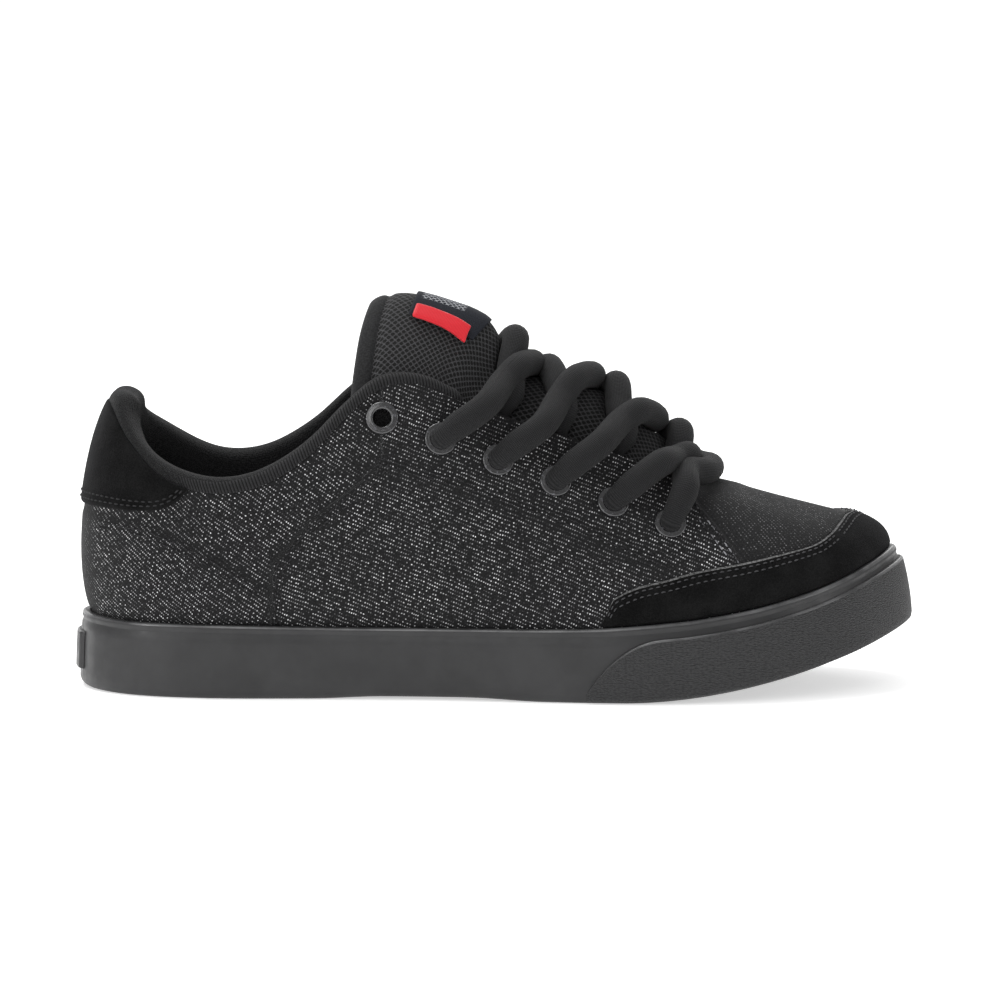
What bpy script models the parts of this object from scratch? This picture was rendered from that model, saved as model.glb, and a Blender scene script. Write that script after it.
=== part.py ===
"""Low-top skateboarding shoe for the right foot, empty and laced, standing on its sole.

Metres, +Z up, +X towards the toe, -Y the lateral (outer) side. The floor is z = 0 and the
origin lies on it under the middle of the shoe. Two functions carry every curved piece:
outline() is the edge of the sole seen from above, and skin() is the outer face of the upper.
"""
import math
from collections import namedtuple

import bmesh
import bpy
from mathutils import Matrix, Vector

LATERAL = -1
MEDIAL = 1

# Overall sizes
SOLE_LENGTH = 0.2930
BALL_WIDTH = 0.1075
HEEL_HEIGHT = 0.1005
INSTEP_HEIGHT = 0.1090
TONGUE_HEIGHT = 0.1370
TOE_SPRING = 0.0215

# Sole
FLOOR_THICKNESS = 0.0085
FOXING_HEIGHT = 0.0262
LIP_THICKNESS = 0.0028
CUP_DRAFT = 0.0022
SOLE_EDGE_ROUND = 0.0030
ARCH_LIFT = 0.0009
HEEL_BEVEL = 0.0005
TREAD_DEPTH = 0.0025
TREAD_WIDTH = 0.0034
TREAD_RIM = 0.0090

# Sheet and padding thicknesses
UPPER_WALL = 0.0022
OVERLAY_THICKNESS = 0.0010
INSOLE_THICKNESS = 0.0045
COLLAR_PADDING = 0.0075
COLLAR_ROLL = 0.0046
COLLAR_DEPTH = 0.0340
TONGUE_THICKNESS = 0.0095
BUMPER_THICKNESS = 0.0012
BUMPER_MARGIN = 0.0050
LABEL_THICKNESS = 0.0010

# Eyelets and lace
EYELET_BORE = 0.0031
EYELET_FLANGE = 0.0057
EYELET_METAL = 0.0007
EYELET_SEAT = 0.0006
LACE_OVER_EYELET = 0.0012
LACE_RADIUS = 0.0038
LACE_ROOM = 0.0030
LACE_LEAVES = 0.0145
LACE_ENTERS = 0.0020
LACE_STACK = 1.5

# Clearance between pieces that touch
GAP = 0.0003

# The lacing and the vamp's ridge lie this far to the medial side of the heel's middle
TOE_SWING = 0.0070

Edge = namedtuple("Edge", "along across")
Level = namedtuple("Level", "along height lean")
Section = namedtuple(
    "Section", "foot along across height rise flare wall reach swell shoulder")
Crown = namedtuple("Crown", "section along height thickness")
Cover = namedtuple("Cover", "section low high")
Crossing = namedtuple("Crossing", "lateral medial")

# Edge of the sole from above: shares of SOLE_LENGTH from the heel, and of BALL_WIDTH
HEEL_POINT = Edge(0.000, 0.000)
TOE_POINT = Edge(1.000, 0.075)
LATERAL_EDGE = (
    Edge(0.020, 0.178), Edge(0.078, 0.312), Edge(0.168, 0.378), Edge(0.300, 0.384),
    Edge(0.430, 0.404), Edge(0.540, 0.453), Edge(0.648, 0.490), Edge(0.758, 0.468),
    Edge(0.858, 0.380), Edge(0.944, 0.208))
MEDIAL_EDGE = (
    Edge(0.020, 0.178), Edge(0.078, 0.312), Edge(0.168, 0.368), Edge(0.300, 0.352),
    Edge(0.430, 0.366), Edge(0.545, 0.425), Edge(0.655, 0.482), Edge(0.760, 0.487),
    Edge(0.868, 0.438), Edge(0.954, 0.312))

# Top edge of the foxing: height as a share of FOXING_HEIGHT, lean of the wall as a share of
# LIP_THICKNESS, both along the shoe
FOXING = (
    Level(0.000, 1.020, 0.40), Level(0.060, 0.985, 0.35), Level(0.160, 0.980, 0.35),
    Level(0.330, 0.950, 0.35), Level(0.480, 0.952, 0.35), Level(0.620, 0.985, 0.35),
    Level(0.730, 1.080, 0.45), Level(0.810, 1.215, 0.60), Level(0.880, 1.395, 0.85),
    Level(0.940, 1.605, 1.20), Level(1.000, 1.850, 1.70))

# Sections of the upper from the heel round to the toe. foot is the share of the way round
# the sole's edge. along, across and height place the top edge; rise lifts it on the medial
# side. flare and wall place the lower control point, and reach, swell and shoulder the upper
# one. Heights are shares of HEEL_HEIGHT in the first table and INSTEP_HEIGHT in the second.
HEEL_SECTIONS = (
    Section(0.000, 0.041, 0.000, 1.000, 0.000, 0.062, 0.42, 1.00, 0.018, 0.84),
    Section(0.060, 0.048, 0.130, 0.985, 0.010, 0.058, 0.43, 1.00, 0.017, 0.83),
    Section(0.120, 0.068, 0.219, 0.880, 0.022, 0.050, 0.45, 0.85, 0.018, 0.82),
    Section(0.180, 0.110, 0.290, 0.756, 0.068, 0.042, 0.50, 0.65, 0.026, 0.81),
    Section(0.235, 0.168, 0.328, 0.708, 0.044, 0.036, 0.51, 0.55, 0.028, 0.80),
    Section(0.290, 0.226, 0.333, 0.736, 0.030, 0.031, 0.50, 0.55, 0.028, 0.80))
INSTEP_SECTIONS = (
    Section(0.340, 0.281, 0.323, 0.772, 0.020, 0.028, 0.48, 0.55, 0.026, 0.78),
    Section(0.385, 0.328, 0.307, 0.902, 0.008, 0.028, 0.45, 0.52, 0.022, 0.77),
    Section(0.425, 0.370, 0.292, 0.988, 0.000, 0.026, 0.42, 0.46, 0.018, 0.75),
    Section(0.465, 0.418, 0.279, 0.989, 0.000, 0.020, 0.40, 0.36, 0.012, 0.74),
    Section(0.510, 0.466, 0.268, 0.930, 0.000, 0.010, 0.40, 0.26, 0.010, 0.73),
    Section(0.570, 0.541, 0.258, 0.856, 0.000, -0.010, 0.42, 0.21, 0.006, 0.73),
    Section(0.635, 0.616, 0.250, 0.788, 0.000, -0.030, 0.45, 0.18, 0.004, 0.73),
    Section(0.710, 0.684, 0.232, 0.717, 0.000, -0.040, 0.47, 0.20, 0.004, 0.75),
    Section(0.800, 0.728, 0.180, 0.674, 0.000, -0.016, 0.60, 0.48, 0.006, 0.81),
    Section(0.900, 0.749, 0.098, 0.668, 0.000, 0.000, 0.76, 0.62, 0.004, 0.81),
    Section(1.000, 0.757, 0.000, 0.674, 0.000, -0.010, 0.83, 0.66, 0.000, 0.81))
TOE_SECTION = len(HEEL_SECTIONS) + len(INSTEP_SECTIONS) - 1
FACING_SECTION = 6.5

# Ridge of the tongue: the section of the upper whose facings flank it, then its place as
# shares of SOLE_LENGTH and TONGUE_HEIGHT, and its thickness as a share of TONGUE_THICKNESS
TONGUE_RIDGE = (
    Crown(6.90, 0.343, 0.970, 0.75), Crown(7.50, 0.369, 1.002, 1.00),
    Crown(8.30, 0.405, 1.006, 1.00), Crown(9.10, 0.453, 0.976, 0.95),
    Crown(9.45, 0.478, 0.956, 0.93), Crown(9.80, 0.498, 0.926, 0.92),
    Crown(10.05, 0.512, 0.868, 0.90), Crown(10.40, 0.534, 0.808, 0.86),
    Crown(10.85, 0.566, 0.794, 0.84), Crown(11.50, 0.610, 0.772, 0.80),
    Crown(12.20, 0.658, 0.716, 0.74), Crown(12.90, 0.698, 0.644, 0.66),
    Crown(13.50, 0.729, 0.562, 0.58))

# Collar at each section from the heel: its padding as a share of COLLAR_PADDING and the
# height of its roll as a share of COLLAR_ROLL
COLLAR_FULLNESS = (0.80, 0.85, 0.95, 1.05, 1.10, 1.10, 1.00, 0.70, 0.42, 0.34, 0.30)
COLLAR_RISE = (1.00, 1.08, 1.65, 1.85, 1.45, 1.25, 1.10, 1.00, 0.96, 0.92, 0.90)

# End of the tongue below the vamp: where its corners lie and how far it goes under
TAIL_SECTION = 13.8
TAIL_REACH = 0.20
TAIL_CLEARANCE = 0.0028
COLLAR_CLEARANCE = 0.0010

# Section at which the collar's padding ends, on a column of the upper
COLLAR_END = 10.0

LOWEST_COVER = 0.03
HIGHEST_COVER = 0.985

# Suede covers between two heights at a section. The toe band's are shares of INSTEP_HEIGHT
# and the heel patch's of HEEL_HEIGHT; a cover stops short of the lip and of the top edge.
TOE_BAND = (
    Cover(11.50, 0.0, 0.262), Cover(11.70, 0.0, 0.322), Cover(12.10, 0.0, 0.356),
    Cover(12.60, 0.0, 0.376), Cover(13.10, 0.0, 0.400), Cover(13.60, 0.0, 0.420),
    Cover(14.10, 0.0, 0.443), Cover(14.60, 0.0, 0.466), Cover(15.00, 0.0, 0.488),
    Cover(15.40, 0.0, 0.506), Cover(16.00, 0.0, 0.528))
HEEL_PATCH = (
    Cover(0.00, 0.645, 1.0), Cover(1.00, 0.645, 1.0), Cover(2.00, 0.640, 1.0),
    Cover(2.60, 0.645, 1.0), Cover(3.05, 0.668, 1.0), Cover(3.50, 0.712, 1.0))

# Eyelets: pairs evenly spaced along a straight line, in shares of SOLE_LENGTH and INSTEP_HEIGHT
EYELET_PAIRS = 6
FIRST_EYELET = Edge(0.3672, 0.886)
LAST_EYELET = Edge(0.7065, 0.541)

# Where the two laces of each crossing pass over the ridge, in shares of SOLE_LENGTH
LACE_CRESTS = (
    Crossing(0.5345, 0.5120), Crossing(0.6030, 0.5650), Crossing(0.6750, 0.6320),
    Crossing(0.7240, 0.7070))

# Lace over the tongue: its place across the tongue and its share of the lift at a crossing,
# from the facing that it leaves to the facing that it goes below
LACE_ARCH = (
    (0.48, 0.8), (0.30, 1.0), (0.12, 0.35), (0.0, 0.06), (-0.26, 0.0), (-0.50, 0.0))
FACING_REACH = 0.667
BAR_SECTIONS = (13.85, 14.9, 16.0)

# Labels
HEEL_LABEL_WIDTH = 0.0340
HEEL_LABEL_LOW = 0.24
HEEL_LABEL_HIGH = 0.74
TONGUE_LABEL_START = 2.05
TONGUE_LABEL_END = 4.85
TONGUE_LABEL_HALF = 0.30
TONGUE_TAB_START = 2.10
TONGUE_TAB_END = 3.85
TONGUE_TAB_INNER = 0.18

# Mesh steps: the columns of points round the shoe, closer together round the toe
COLUMN_TURN = 0.5
TOE_COLUMNS_FROM = 14
COLUMNS = tuple([step / 2 for step in range(2 * TOE_COLUMNS_FROM)]
                + [step / 4 for step in range(4 * TOE_COLUMNS_FROM, 4 * TOE_SECTION + 1)])
SKIN_LEVELS = (-1.0, 0.0, 0.13, 0.27, 0.42, 0.57, 0.72, 0.86, 1.0)
OUTLINE_STEPS = 24


def smooth(values, at, mirrored=False):
    """Value at a real index, on a Catmull-Rom curve through values.

    Past each end the curve goes on as its mirror image, or else as its half turn, so that
    the two sides of the shoe meet with no crease at the heel and at the toe.
    """
    last = len(values) - 1
    at = min(max(at, 0.0), float(last))
    index = min(int(at), last - 1)
    share = at - index
    start, end = values[index], values[index + 1]
    if index > 0:
        before = values[index - 1]
    else:
        before = end if mirrored else 2 * start - end
    if index < last - 1:
        after = values[index + 2]
    else:
        after = start if mirrored else 2 * end - start
    slope_in = (end - before) / 2
    slope_out = (after - start) / 2
    rise = end - start
    return (start + share * slope_in + share ** 2 * (3 * rise - 2 * slope_in - slope_out)
            + share ** 3 * (slope_in + slope_out - 2 * rise))


def lookup(rows, key, column, at):
    """Value of one column of a table at a value of its key column."""
    keys = [getattr(row, key) for row in rows]
    at = min(max(at, keys[0]), keys[-1])
    index = 0
    while index < len(keys) - 2 and at > keys[index + 1]:
        index += 1
    share = (at - keys[index]) / (keys[index + 1] - keys[index])
    return smooth([getattr(row, column) for row in rows], index + share)


def bisect(measure, wanted, low, high):
    """Argument at which a rising measure reaches a wanted value."""
    for _ in range(28):
        middle = (low + high) / 2
        if measure(middle) < wanted:
            low = middle
        else:
            high = middle
    return low


def along_to_x(along):
    return (along - 0.5) * SOLE_LENGTH


def x_to_along(x):
    return x / SOLE_LENGTH + 0.5


def edge_point(row, side):
    return Vector((along_to_x(row.along), side * row.across * BALL_WIDTH, 0))


def half_outline(side):
    """Dense points along one side of the sole's edge, from the heel to the toe."""
    near, far = (LATERAL_EDGE, MEDIAL_EDGE) if side == LATERAL else (MEDIAL_EDGE, LATERAL_EDGE)
    toe = edge_point(TOE_POINT, MEDIAL)
    knots = [edge_point(far[0], -side), edge_point(HEEL_POINT, side)]
    knots += [edge_point(row, side) for row in near]
    knots += [toe, edge_point(far[-1], -side)]
    points = []
    for index in range(1, len(knots) - 2):
        before, start, end, after = knots[index - 1:index + 3]
        span = (end - start).length
        slope_in = (end - before) / (1 + (start - before).length / span)
        slope_out = (after - start) / (1 + (after - end).length / span)
        for step in range(OUTLINE_STEPS):
            share = step / OUTLINE_STEPS
            rise = end - start
            points.append(start + share * slope_in
                          + share ** 2 * (3 * rise - 2 * slope_in - slope_out)
                          + share ** 3 * (slope_in + slope_out - 2 * rise))
    points.append(toe)
    return points


def with_lengths(points):
    lengths = [0.0]
    for start, end in zip(points, points[1:]):
        lengths.append(lengths[-1] + (end - start).length)
    return points, [length / lengths[-1] for length in lengths]


SOLE_EDGE = {side: with_lengths(half_outline(side)) for side in (LATERAL, MEDIAL)}


def on_edge(share, side):
    """Point of the sole's edge at a share of the way from the heel to the toe."""
    if share < 0:
        return on_edge(-share, -side)
    if share > 1:
        return on_edge(2 - share, -side)
    points, lengths = SOLE_EDGE[side]
    low, high = 0, len(lengths) - 1
    while high - low > 1:
        middle = (low + high) // 2
        if lengths[middle] <= share:
            low = middle
        else:
            high = middle
    part = (share - lengths[low]) / (lengths[high] - lengths[low])
    return points[low].lerp(points[high], part)


def outline(share, side, inset=0.0):
    """Point of the sole's edge moved inwards, square to the edge."""
    step = 0.004
    run = on_edge(share + step, side) - on_edge(share - step, side)
    outward = Vector((run.y, -run.x, 0)).normalized() * (-side)
    return on_edge(share, side) - outward * inset


def ease(value):
    value = min(max(value, 0.0), 1.0)
    return value * value * (3 - 2 * value)


def ground(x):
    """Height of the tread's face: flat heel and forefoot, a low arch and the toe spring."""
    along = x_to_along(x)
    arch = ARCH_LIFT * ease((along - 0.28) / 0.09) * ease((0.56 - along) / 0.09)
    spring = max(0.0, (along - 0.655) / 0.345)
    heel = max(0.0, (0.06 - along) / 0.06)
    return arch + TOE_SPRING * spring ** 1.8 + HEEL_BEVEL * heel ** 2


def lip(x):
    return FOXING_HEIGHT * lookup(FOXING, "along", "height", x_to_along(x))


def lean(x):
    return LIP_THICKNESS * lookup(FOXING, "along", "lean", x_to_along(x))


def cup_floor(x):
    return ground(x) + FLOOR_THICKNESS


SECTIONS = HEEL_SECTIONS + INSTEP_SECTIONS
COLUMN_VALUES = {name: [getattr(row, name) for row in SECTIONS] for name in Section._fields}
TOP_HEIGHTS = ([row.height * HEEL_HEIGHT for row in HEEL_SECTIONS]
               + [row.height * INSTEP_HEIGHT for row in INSTEP_SECTIONS])
TOP_RISES = ([row.rise * HEEL_HEIGHT for row in HEEL_SECTIONS]
             + [row.rise * INSTEP_HEIGHT for row in INSTEP_SECTIONS])


def foot_share(section):
    return smooth(COLUMN_VALUES["foot"], section)


def swing(x):
    """Sideways shift of the shoe's middle line, which curves to the medial side."""
    return TOE_SWING * ease((x_to_along(x) - 0.22) / 0.45)


def top_edge(section, side):
    along = smooth(COLUMN_VALUES["along"], section, mirrored=True)
    across = smooth(COLUMN_VALUES["across"], section)
    height = smooth(TOP_HEIGHTS, section, mirrored=True)
    if side == MEDIAL:
        height += smooth(TOP_RISES, section, mirrored=True)
    x = along_to_x(along)
    return Vector((x, swing(x) + side * across * BALL_WIDTH, height))


def lip_point(section, side, inset):
    """Point at the top of the foxing, measured inwards from the foxing's own top edge."""
    edge = outline(foot_share(section), side)
    place = outline(foot_share(section), side, lean(edge.x) + inset)
    place.z = lip(edge.x)
    return place


def cup_point(section, side, inset):
    """Point at the floor of the cup, below lip_point."""
    edge = outline(foot_share(section), side)
    place = outline(foot_share(section), side, lean(edge.x) + CUP_DRAFT + inset)
    place.z = cup_floor(edge.x)
    return place


def base_skin(turn, level):
    """Outer face of the upper. turn runs round the shoe by section number, negative on the
    lateral side; level is 0 at the foxing's lip, 1 at the top edge and -1 in the cup."""
    full = 2 * TOE_SECTION
    turn = (turn + TOE_SECTION) % full - TOE_SECTION
    side = LATERAL if turn < 0 else MEDIAL
    section = abs(turn)
    foot = lip_point(section, side, LIP_THICKNESS + GAP)
    if level < 0:
        floor = cup_point(section, side, LIP_THICKNESS + GAP)
        floor.z += GAP
        return foot.lerp(floor, -level)
    top = top_edge(section, side)
    outward = foot - outline(foot_share(section), side, lean(foot.x) + 2 * LIP_THICKNESS + GAP)
    outward.z = 0
    outward.normalize()
    column = {name: smooth(COLUMN_VALUES[name], section, mirrored=True)
              for name in ("flare", "wall", "reach", "swell", "shoulder")}
    lower = foot + outward * column["flare"] * BALL_WIDTH
    lower.z = max(column["wall"] * top.z, foot.z + 0.002)
    upper = top.lerp(foot, column["reach"]) + outward * column["swell"] * BALL_WIDTH
    upper.z = column["shoulder"] * top.z
    rest = 1 - level
    return (foot * rest ** 3 + lower * 3 * rest ** 2 * level + upper * 3 * rest * level ** 2
            + top * level ** 3)


def skin_frame(turn, level):
    """Point of the outer face, its outward normal and its upward direction."""
    step = 0.03
    low = max(level - step, -1.0)
    high = min(level + step, 1.0)
    if level <= 0 < high:
        high = 0.0
    if high == low:
        high = low + step
    point = base_skin(turn, level)
    up = (base_skin(turn, high) - base_skin(turn, low)).normalized()
    around = base_skin(turn + 0.12, level) - base_skin(turn - 0.12, level)
    normal = up.cross(around).normalized()
    return point, normal, up


def skin(turn, level, depth=0.0, above=0.0):
    """Point at a depth under the outer face, and above a level along the face."""
    point, normal, up = skin_frame(turn, level)
    return point - normal * depth + up * above


def meridian(turn):
    """Length of the upper from the lip to its top edge at one turn."""
    points = [base_skin(turn, step / 8) for step in range(9)]
    return sum((end - start).length for start, end in zip(points, points[1:]))


def turns(first, last, count):
    return [first + (last - first) * step / count for step in range(count + 1)]


def columns_between(first, last):
    """Both ends and every column of the upper between them; the toe is at TOE_SECTION."""
    every = [-column for column in COLUMNS] + list(COLUMNS)
    every += [2 * TOE_SECTION - column for column in COLUMNS]
    room = 0.3 * COLUMN_TURN
    inner = sorted({column for column in every if first + room < column < last - room})
    return [first] + inner + [last]


def material(name, colour, roughness, metallic=0.0):
    """Principled material. colour is linear."""
    made = bpy.data.materials.new(name)
    made.use_nodes = True
    shader = made.node_tree.nodes["Principled BSDF"]
    shader.inputs["Base Color"].default_value = (*colour, 1.0)
    shader.inputs["Roughness"].default_value = roughness
    shader.inputs["Metallic"].default_value = metallic
    made.diffuse_color = (*colour, 1.0)
    return made


def add_object(name, bm, finish):
    bmesh.ops.remove_doubles(bm, verts=bm.verts, dist=0.00002)
    bmesh.ops.recalc_face_normals(bm, faces=bm.faces)
    mesh = bpy.data.meshes.new(name)
    bm.to_mesh(mesh)
    bm.free()
    mesh.shade_smooth()
    mesh.set_sharp_from_angle(angle=math.radians(40))
    mesh.materials.append(finish)
    made = bpy.data.objects.new(name, mesh)
    bpy.context.scene.collection.objects.link(made)
    return made


def add_rows(bm, rows, closed):
    """Skin rows of points, all of one length, with quads; closed joins each row's ends."""
    grid = [[bm.verts.new(point) for point in row] for row in rows]
    count = len(grid[0])
    for lower, upper in zip(grid, grid[1:]):
        for index in range(count if closed else count - 1):
            after = (index + 1) % count
            bm.faces.new((lower[index], lower[after], upper[after], upper[index]))
    return grid


def add_ring_body(bm, sections, closed_run):
    """Body swept through closed sections; an open run gets a cap at each end."""
    loops = [[bm.verts.new(point) for point in section] for section in sections]
    pairs = list(zip(loops, loops[1:]))
    if closed_run:
        pairs.append((loops[-1], loops[0]))
    for start, end in pairs:
        count = len(start)
        for index in range(count):
            after = (index + 1) % count
            bm.faces.new((start[index], start[after], end[after], end[index]))
    if not closed_run:
        bm.faces.new(loops[0])
        bm.faces.new(list(reversed(loops[-1])))


def sheet_body(bm, outer, inner):
    """Body between two grids of points of the same size, closed all round its border."""
    sections = [front + list(reversed(back)) for front, back in zip(outer, inner)]
    loops = [[bm.verts.new(point) for point in section] for section in sections]
    for start, end in zip(loops, loops[1:]):
        count = len(start)
        for index in range(count):
            after = (index + 1) % count
            bm.faces.new((start[index], start[after], end[after], end[index]))
    for loop, flip in ((loops[0], False), (loops[-1], True)):
        half = len(loop) // 2
        for index in range(half - 1):
            face = [loop[index], loop[index + 1], loop[-2 - index], loop[-1 - index]]
            bm.faces.new(list(reversed(face)) if flip else face)


def subtract(target, cutter):
    """Cut one closed object out of another, then drop the cutter."""
    cut = target.modifiers.new("cut", "BOOLEAN")
    cut.operation = "DIFFERENCE"
    cut.object = cutter
    apply_modifiers(target)
    bpy.data.objects.remove(cutter)


def unite(target, other):
    joined = target.modifiers.new("join", "BOOLEAN")
    joined.operation = "UNION"
    joined.object = other
    apply_modifiers(target)
    bpy.data.objects.remove(other)


def apply_modifiers(target):
    view = bpy.context.evaluated_depsgraph_get()
    mesh = bpy.data.meshes.new_from_object(target.evaluated_get(view))
    target.modifiers.clear()
    target.data = mesh


def sole_turns():
    lateral = [(column, LATERAL) for column in COLUMNS]
    medial = [(column, MEDIAL) for column in reversed(COLUMNS)]
    return lateral + medial[1:-1]


def wall_point(section, side, share, proud=0.0):
    """Outer face of the foxing at a share of its height, moved outwards by proud."""
    share_round = foot_share(section)
    edge = outline(share_round, side)
    low, high = ground(edge.x), lip(edge.x)
    height = share * (high - low)
    foot_curve = max(0.0, 1 - height / SOLE_EDGE_ROUND)
    inset = SOLE_EDGE_ROUND * (1 - math.sqrt(1 - foot_curve ** 2)) + lean(edge.x) * share ** 1.8
    place = outline(share_round, side, inset - proud)
    place.z = low + height
    return place


def across_strips(bm, loop, inwards):
    """Close a ring that runs heel, lateral side, toe, medial side with strips across."""
    count = len(loop)
    for index in range(count // 2):
        a, b = loop[index], loop[index + 1]
        c, d = loop[-index - 1 if index + 1 < count else 0], loop[(-index) % count]
        corners = [a, b, c, d]
        distinct = [v for number, v in enumerate(corners) if v not in corners[:number]]
        if len(distinct) > 2:
            bm.faces.new(list(reversed(distinct)) if inwards else distinct)


def make_cupsole(finish):
    """Cup of rubber: foxing wall, lip, inner wall, floor, and the tread cut in below."""
    places = sole_turns()
    rings = [[wall_point(*place, share) for place in places]
             for share in (0.0, 0.025, 0.06, 0.12, 0.38, 0.68, 0.95)]
    rings.append([lip_point(*place, 0.0006) for place in places])
    rings.append([lip_point(*place, LIP_THICKNESS) for place in places])
    rings.append([cup_point(*place, LIP_THICKNESS) for place in places])
    bm = bmesh.new()
    grid = add_rows(bm, rings, closed=True)
    across_strips(bm, grid[0], inwards=True)
    across_strips(bm, grid[-1], inwards=False)
    sole = add_object("cupsole", bm, finish)
    for cutter in tread_cutters():
        subtract(sole, cutter)
    return sole


def tread_cutters():
    """One chevron groove for each lug gap of the heel and the forefoot."""
    made = []
    for first, last, count in ((0.075, 0.265, 5), (0.545, 0.875, 8)):
        for step in range(count):
            along = first + (last - first) * step / (count - 1)
            made.append(chevron(along_to_x(along)))
    return made


def chevron(x):
    """Groove across the sole in a shallow V whose point looks to the toe."""
    reach = 0.0075
    points = []
    for side in (LATERAL, MEDIAL):
        share = side_share(x - reach, side)
        points.append(outline(share, side, TREAD_RIM).y)
    middle = (points[0] + points[1]) / 2
    run = [Vector((x - reach, points[0], 0)), Vector((x, middle, 0)),
           Vector((x - reach, points[1], 0))]
    bm = bmesh.new()
    sections = []
    for place in run:
        low = ground(place.x) - 0.004
        high = ground(place.x) + TREAD_DEPTH
        half = TREAD_WIDTH / 2
        sections.append([Vector((place.x + dx, place.y, z)) for dx, z in
                         ((-half, low), (half, low), (half * 0.7, high), (-half * 0.7, high))])
    add_ring_body(bm, sections, closed_run=False)
    bmesh.ops.recalc_face_normals(bm, faces=bm.faces)
    mesh = bpy.data.meshes.new("groove")
    bm.to_mesh(mesh)
    bm.free()
    cutter = bpy.data.objects.new("groove", mesh)
    cutter.hide_render = True
    cutter.display_type = "WIRE"
    bpy.context.scene.collection.objects.link(cutter)
    return cutter


def side_share(x, side):
    """Share of the way round the sole's edge at which one side passes a given x."""
    return bisect(lambda share: on_edge(share, side).x, x, 0.0, 1.0)


def section_at_share(share):
    """Section number whose foot stands at a share of the way round the sole's edge."""
    return bisect(foot_share, share, 0.0, TOE_SECTION)


def make_bumper(finish):
    """Rubber strip that wraps the toe, outside the foxing and below its lip."""
    start_x = along_to_x(0.607)
    full_x = along_to_x(0.700)
    places = []
    for side in (LATERAL, MEDIAL):
        start = section_at_share(side_share(start_x, side))
        half = [(column, side) for column in columns_between(start, TOE_SECTION)]
        places += half if side == LATERAL else list(reversed(half))[1:]
    outer, inner = [], []
    for section, side in places:
        x = outline(foot_share(section), side).x
        climb = min(1.0, max(0.0, (x - start_x) / (full_x - start_x)))
        height = lip(x) - ground(x)
        full = 1 - BUMPER_MARGIN / height * (1 - 0.2 * ease((x_to_along(x) - 0.75) / 0.25))
        top = 0.14 + (full - 0.14) * (1 - (1 - climb) ** 2.4)
        shares = [0.06 + (top - 0.06) * step / 3 for step in range(4)]
        outer.append([wall_point(section, side, share, 1.4 * GAP + BUMPER_THICKNESS)
                      for share in shares])
        inner.append([wall_point(section, side, share, 1.4 * GAP) for share in shares])
    bm = bmesh.new()
    sheet_body(bm, outer, inner)
    return add_object("toe_bumper", bm, finish)


def make_heel_label(finish):
    """Plain raised rubber label round the back of the foxing."""
    rim = SOLE_EDGE[LATERAL][0]
    half = HEEL_LABEL_WIDTH / 2 / sum((end - start).length for start, end in zip(rim, rim[1:]))
    outer, inner = [], []
    for share in turns(-half, half, 10):
        side = LATERAL if share < 0 else MEDIAL
        section = section_at_share(abs(share))
        heights = [HEEL_LABEL_LOW + (HEEL_LABEL_HIGH - HEEL_LABEL_LOW) * step / 3
                   for step in range(4)]
        outer.append([wall_point(section, side, height, GAP + BUMPER_THICKNESS)
                      for height in heights])
        inner.append([wall_point(section, side, height, GAP) for height in heights])
    bm = bmesh.new()
    sheet_body(bm, outer, inner)
    return add_object("heel_label", bm, finish)


def make_insole(finish):
    """Loose footbed on the floor of the cup, inside the upper."""
    inset = LIP_THICKNESS + GAP + UPPER_WALL + GAP
    places = sole_turns()
    rings = []
    for height, margin in ((0.0, 0.0008), (0.0010, 0.0), (0.0032, 0.0), (1.0, 0.0014)):
        ring = []
        for section, side in places:
            point = cup_point(section, side, inset + margin)
            lift = height if height < 1.0 else INSOLE_THICKNESS
            point.z += GAP + lift
            ring.append(point)
        rings.append(ring)
    bm = bmesh.new()
    grid = add_rows(bm, rings, closed=True)
    across_strips(bm, grid[0], inwards=True)
    across_strips(bm, grid[-1], inwards=False)
    return add_object("insole", bm, finish)


def make_upper(finish):
    """Vamp, quarters and facings in one wall, open at the collar, the throat and below."""
    sections = []
    for turn in columns_between(-TOE_SECTION, TOE_SECTION)[:-1]:
        outer = [skin(turn, level) for level in SKIN_LEVELS]
        inner = [skin(turn, level, UPPER_WALL) for level in SKIN_LEVELS]
        sections.append(outer + list(reversed(inner)))
    bm = bmesh.new()
    add_ring_body(bm, sections, closed_run=True)
    upper = add_object("upper", bm, finish)
    for place in eyelet_places():
        subtract(upper, eyelet_cutter(place))
    return upper


def eyelet_places():
    """Frame of each eyelet, whose local Z is the outward normal of the facing."""
    places = []
    for side in (LATERAL, MEDIAL):
        for pair in range(EYELET_PAIRS):
            places.append(eyelet_frame(pair, side))
    return places


def eyelet_x(pair):
    share = pair / (EYELET_PAIRS - 1)
    return along_to_x(FIRST_EYELET.along + (LAST_EYELET.along - FIRST_EYELET.along) * share)


def eyelet_turn(pair, side):
    """Turn and level of an eyelet, at its place on the eyelets' line."""
    share = pair / (EYELET_PAIRS - 1)
    height = INSTEP_HEIGHT * (FIRST_EYELET.across
                              + (LAST_EYELET.across - FIRST_EYELET.across) * share)

    def x_at(section):
        return base_skin(side * section, level_at_height(side * section, height)).x

    section = bisect(x_at, eyelet_x(pair), FACING_SECTION, TOE_SECTION - 1)
    return side * section, level_at_height(side * section, height)


def eyelet_frame(pair, side):
    turn, level = eyelet_turn(pair, side)
    point, normal, up = skin_frame(turn, level)
    across = up.cross(normal).normalized()
    frame = Matrix((across, normal.cross(across), normal)).transposed().to_4x4()
    frame.translation = point
    return frame


def turned(profile, count, frame):
    """Ring of revolution round a frame's Z through a closed profile of (radius, height)."""
    bm = bmesh.new()
    sections = []
    for step in range(count):
        angle = 2 * math.pi * step / count
        sections.append([frame @ Vector((radius * math.cos(angle), radius * math.sin(angle),
                                         height)) for radius, height in profile])
    add_ring_body(bm, sections, closed_run=True)
    return bm


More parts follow.
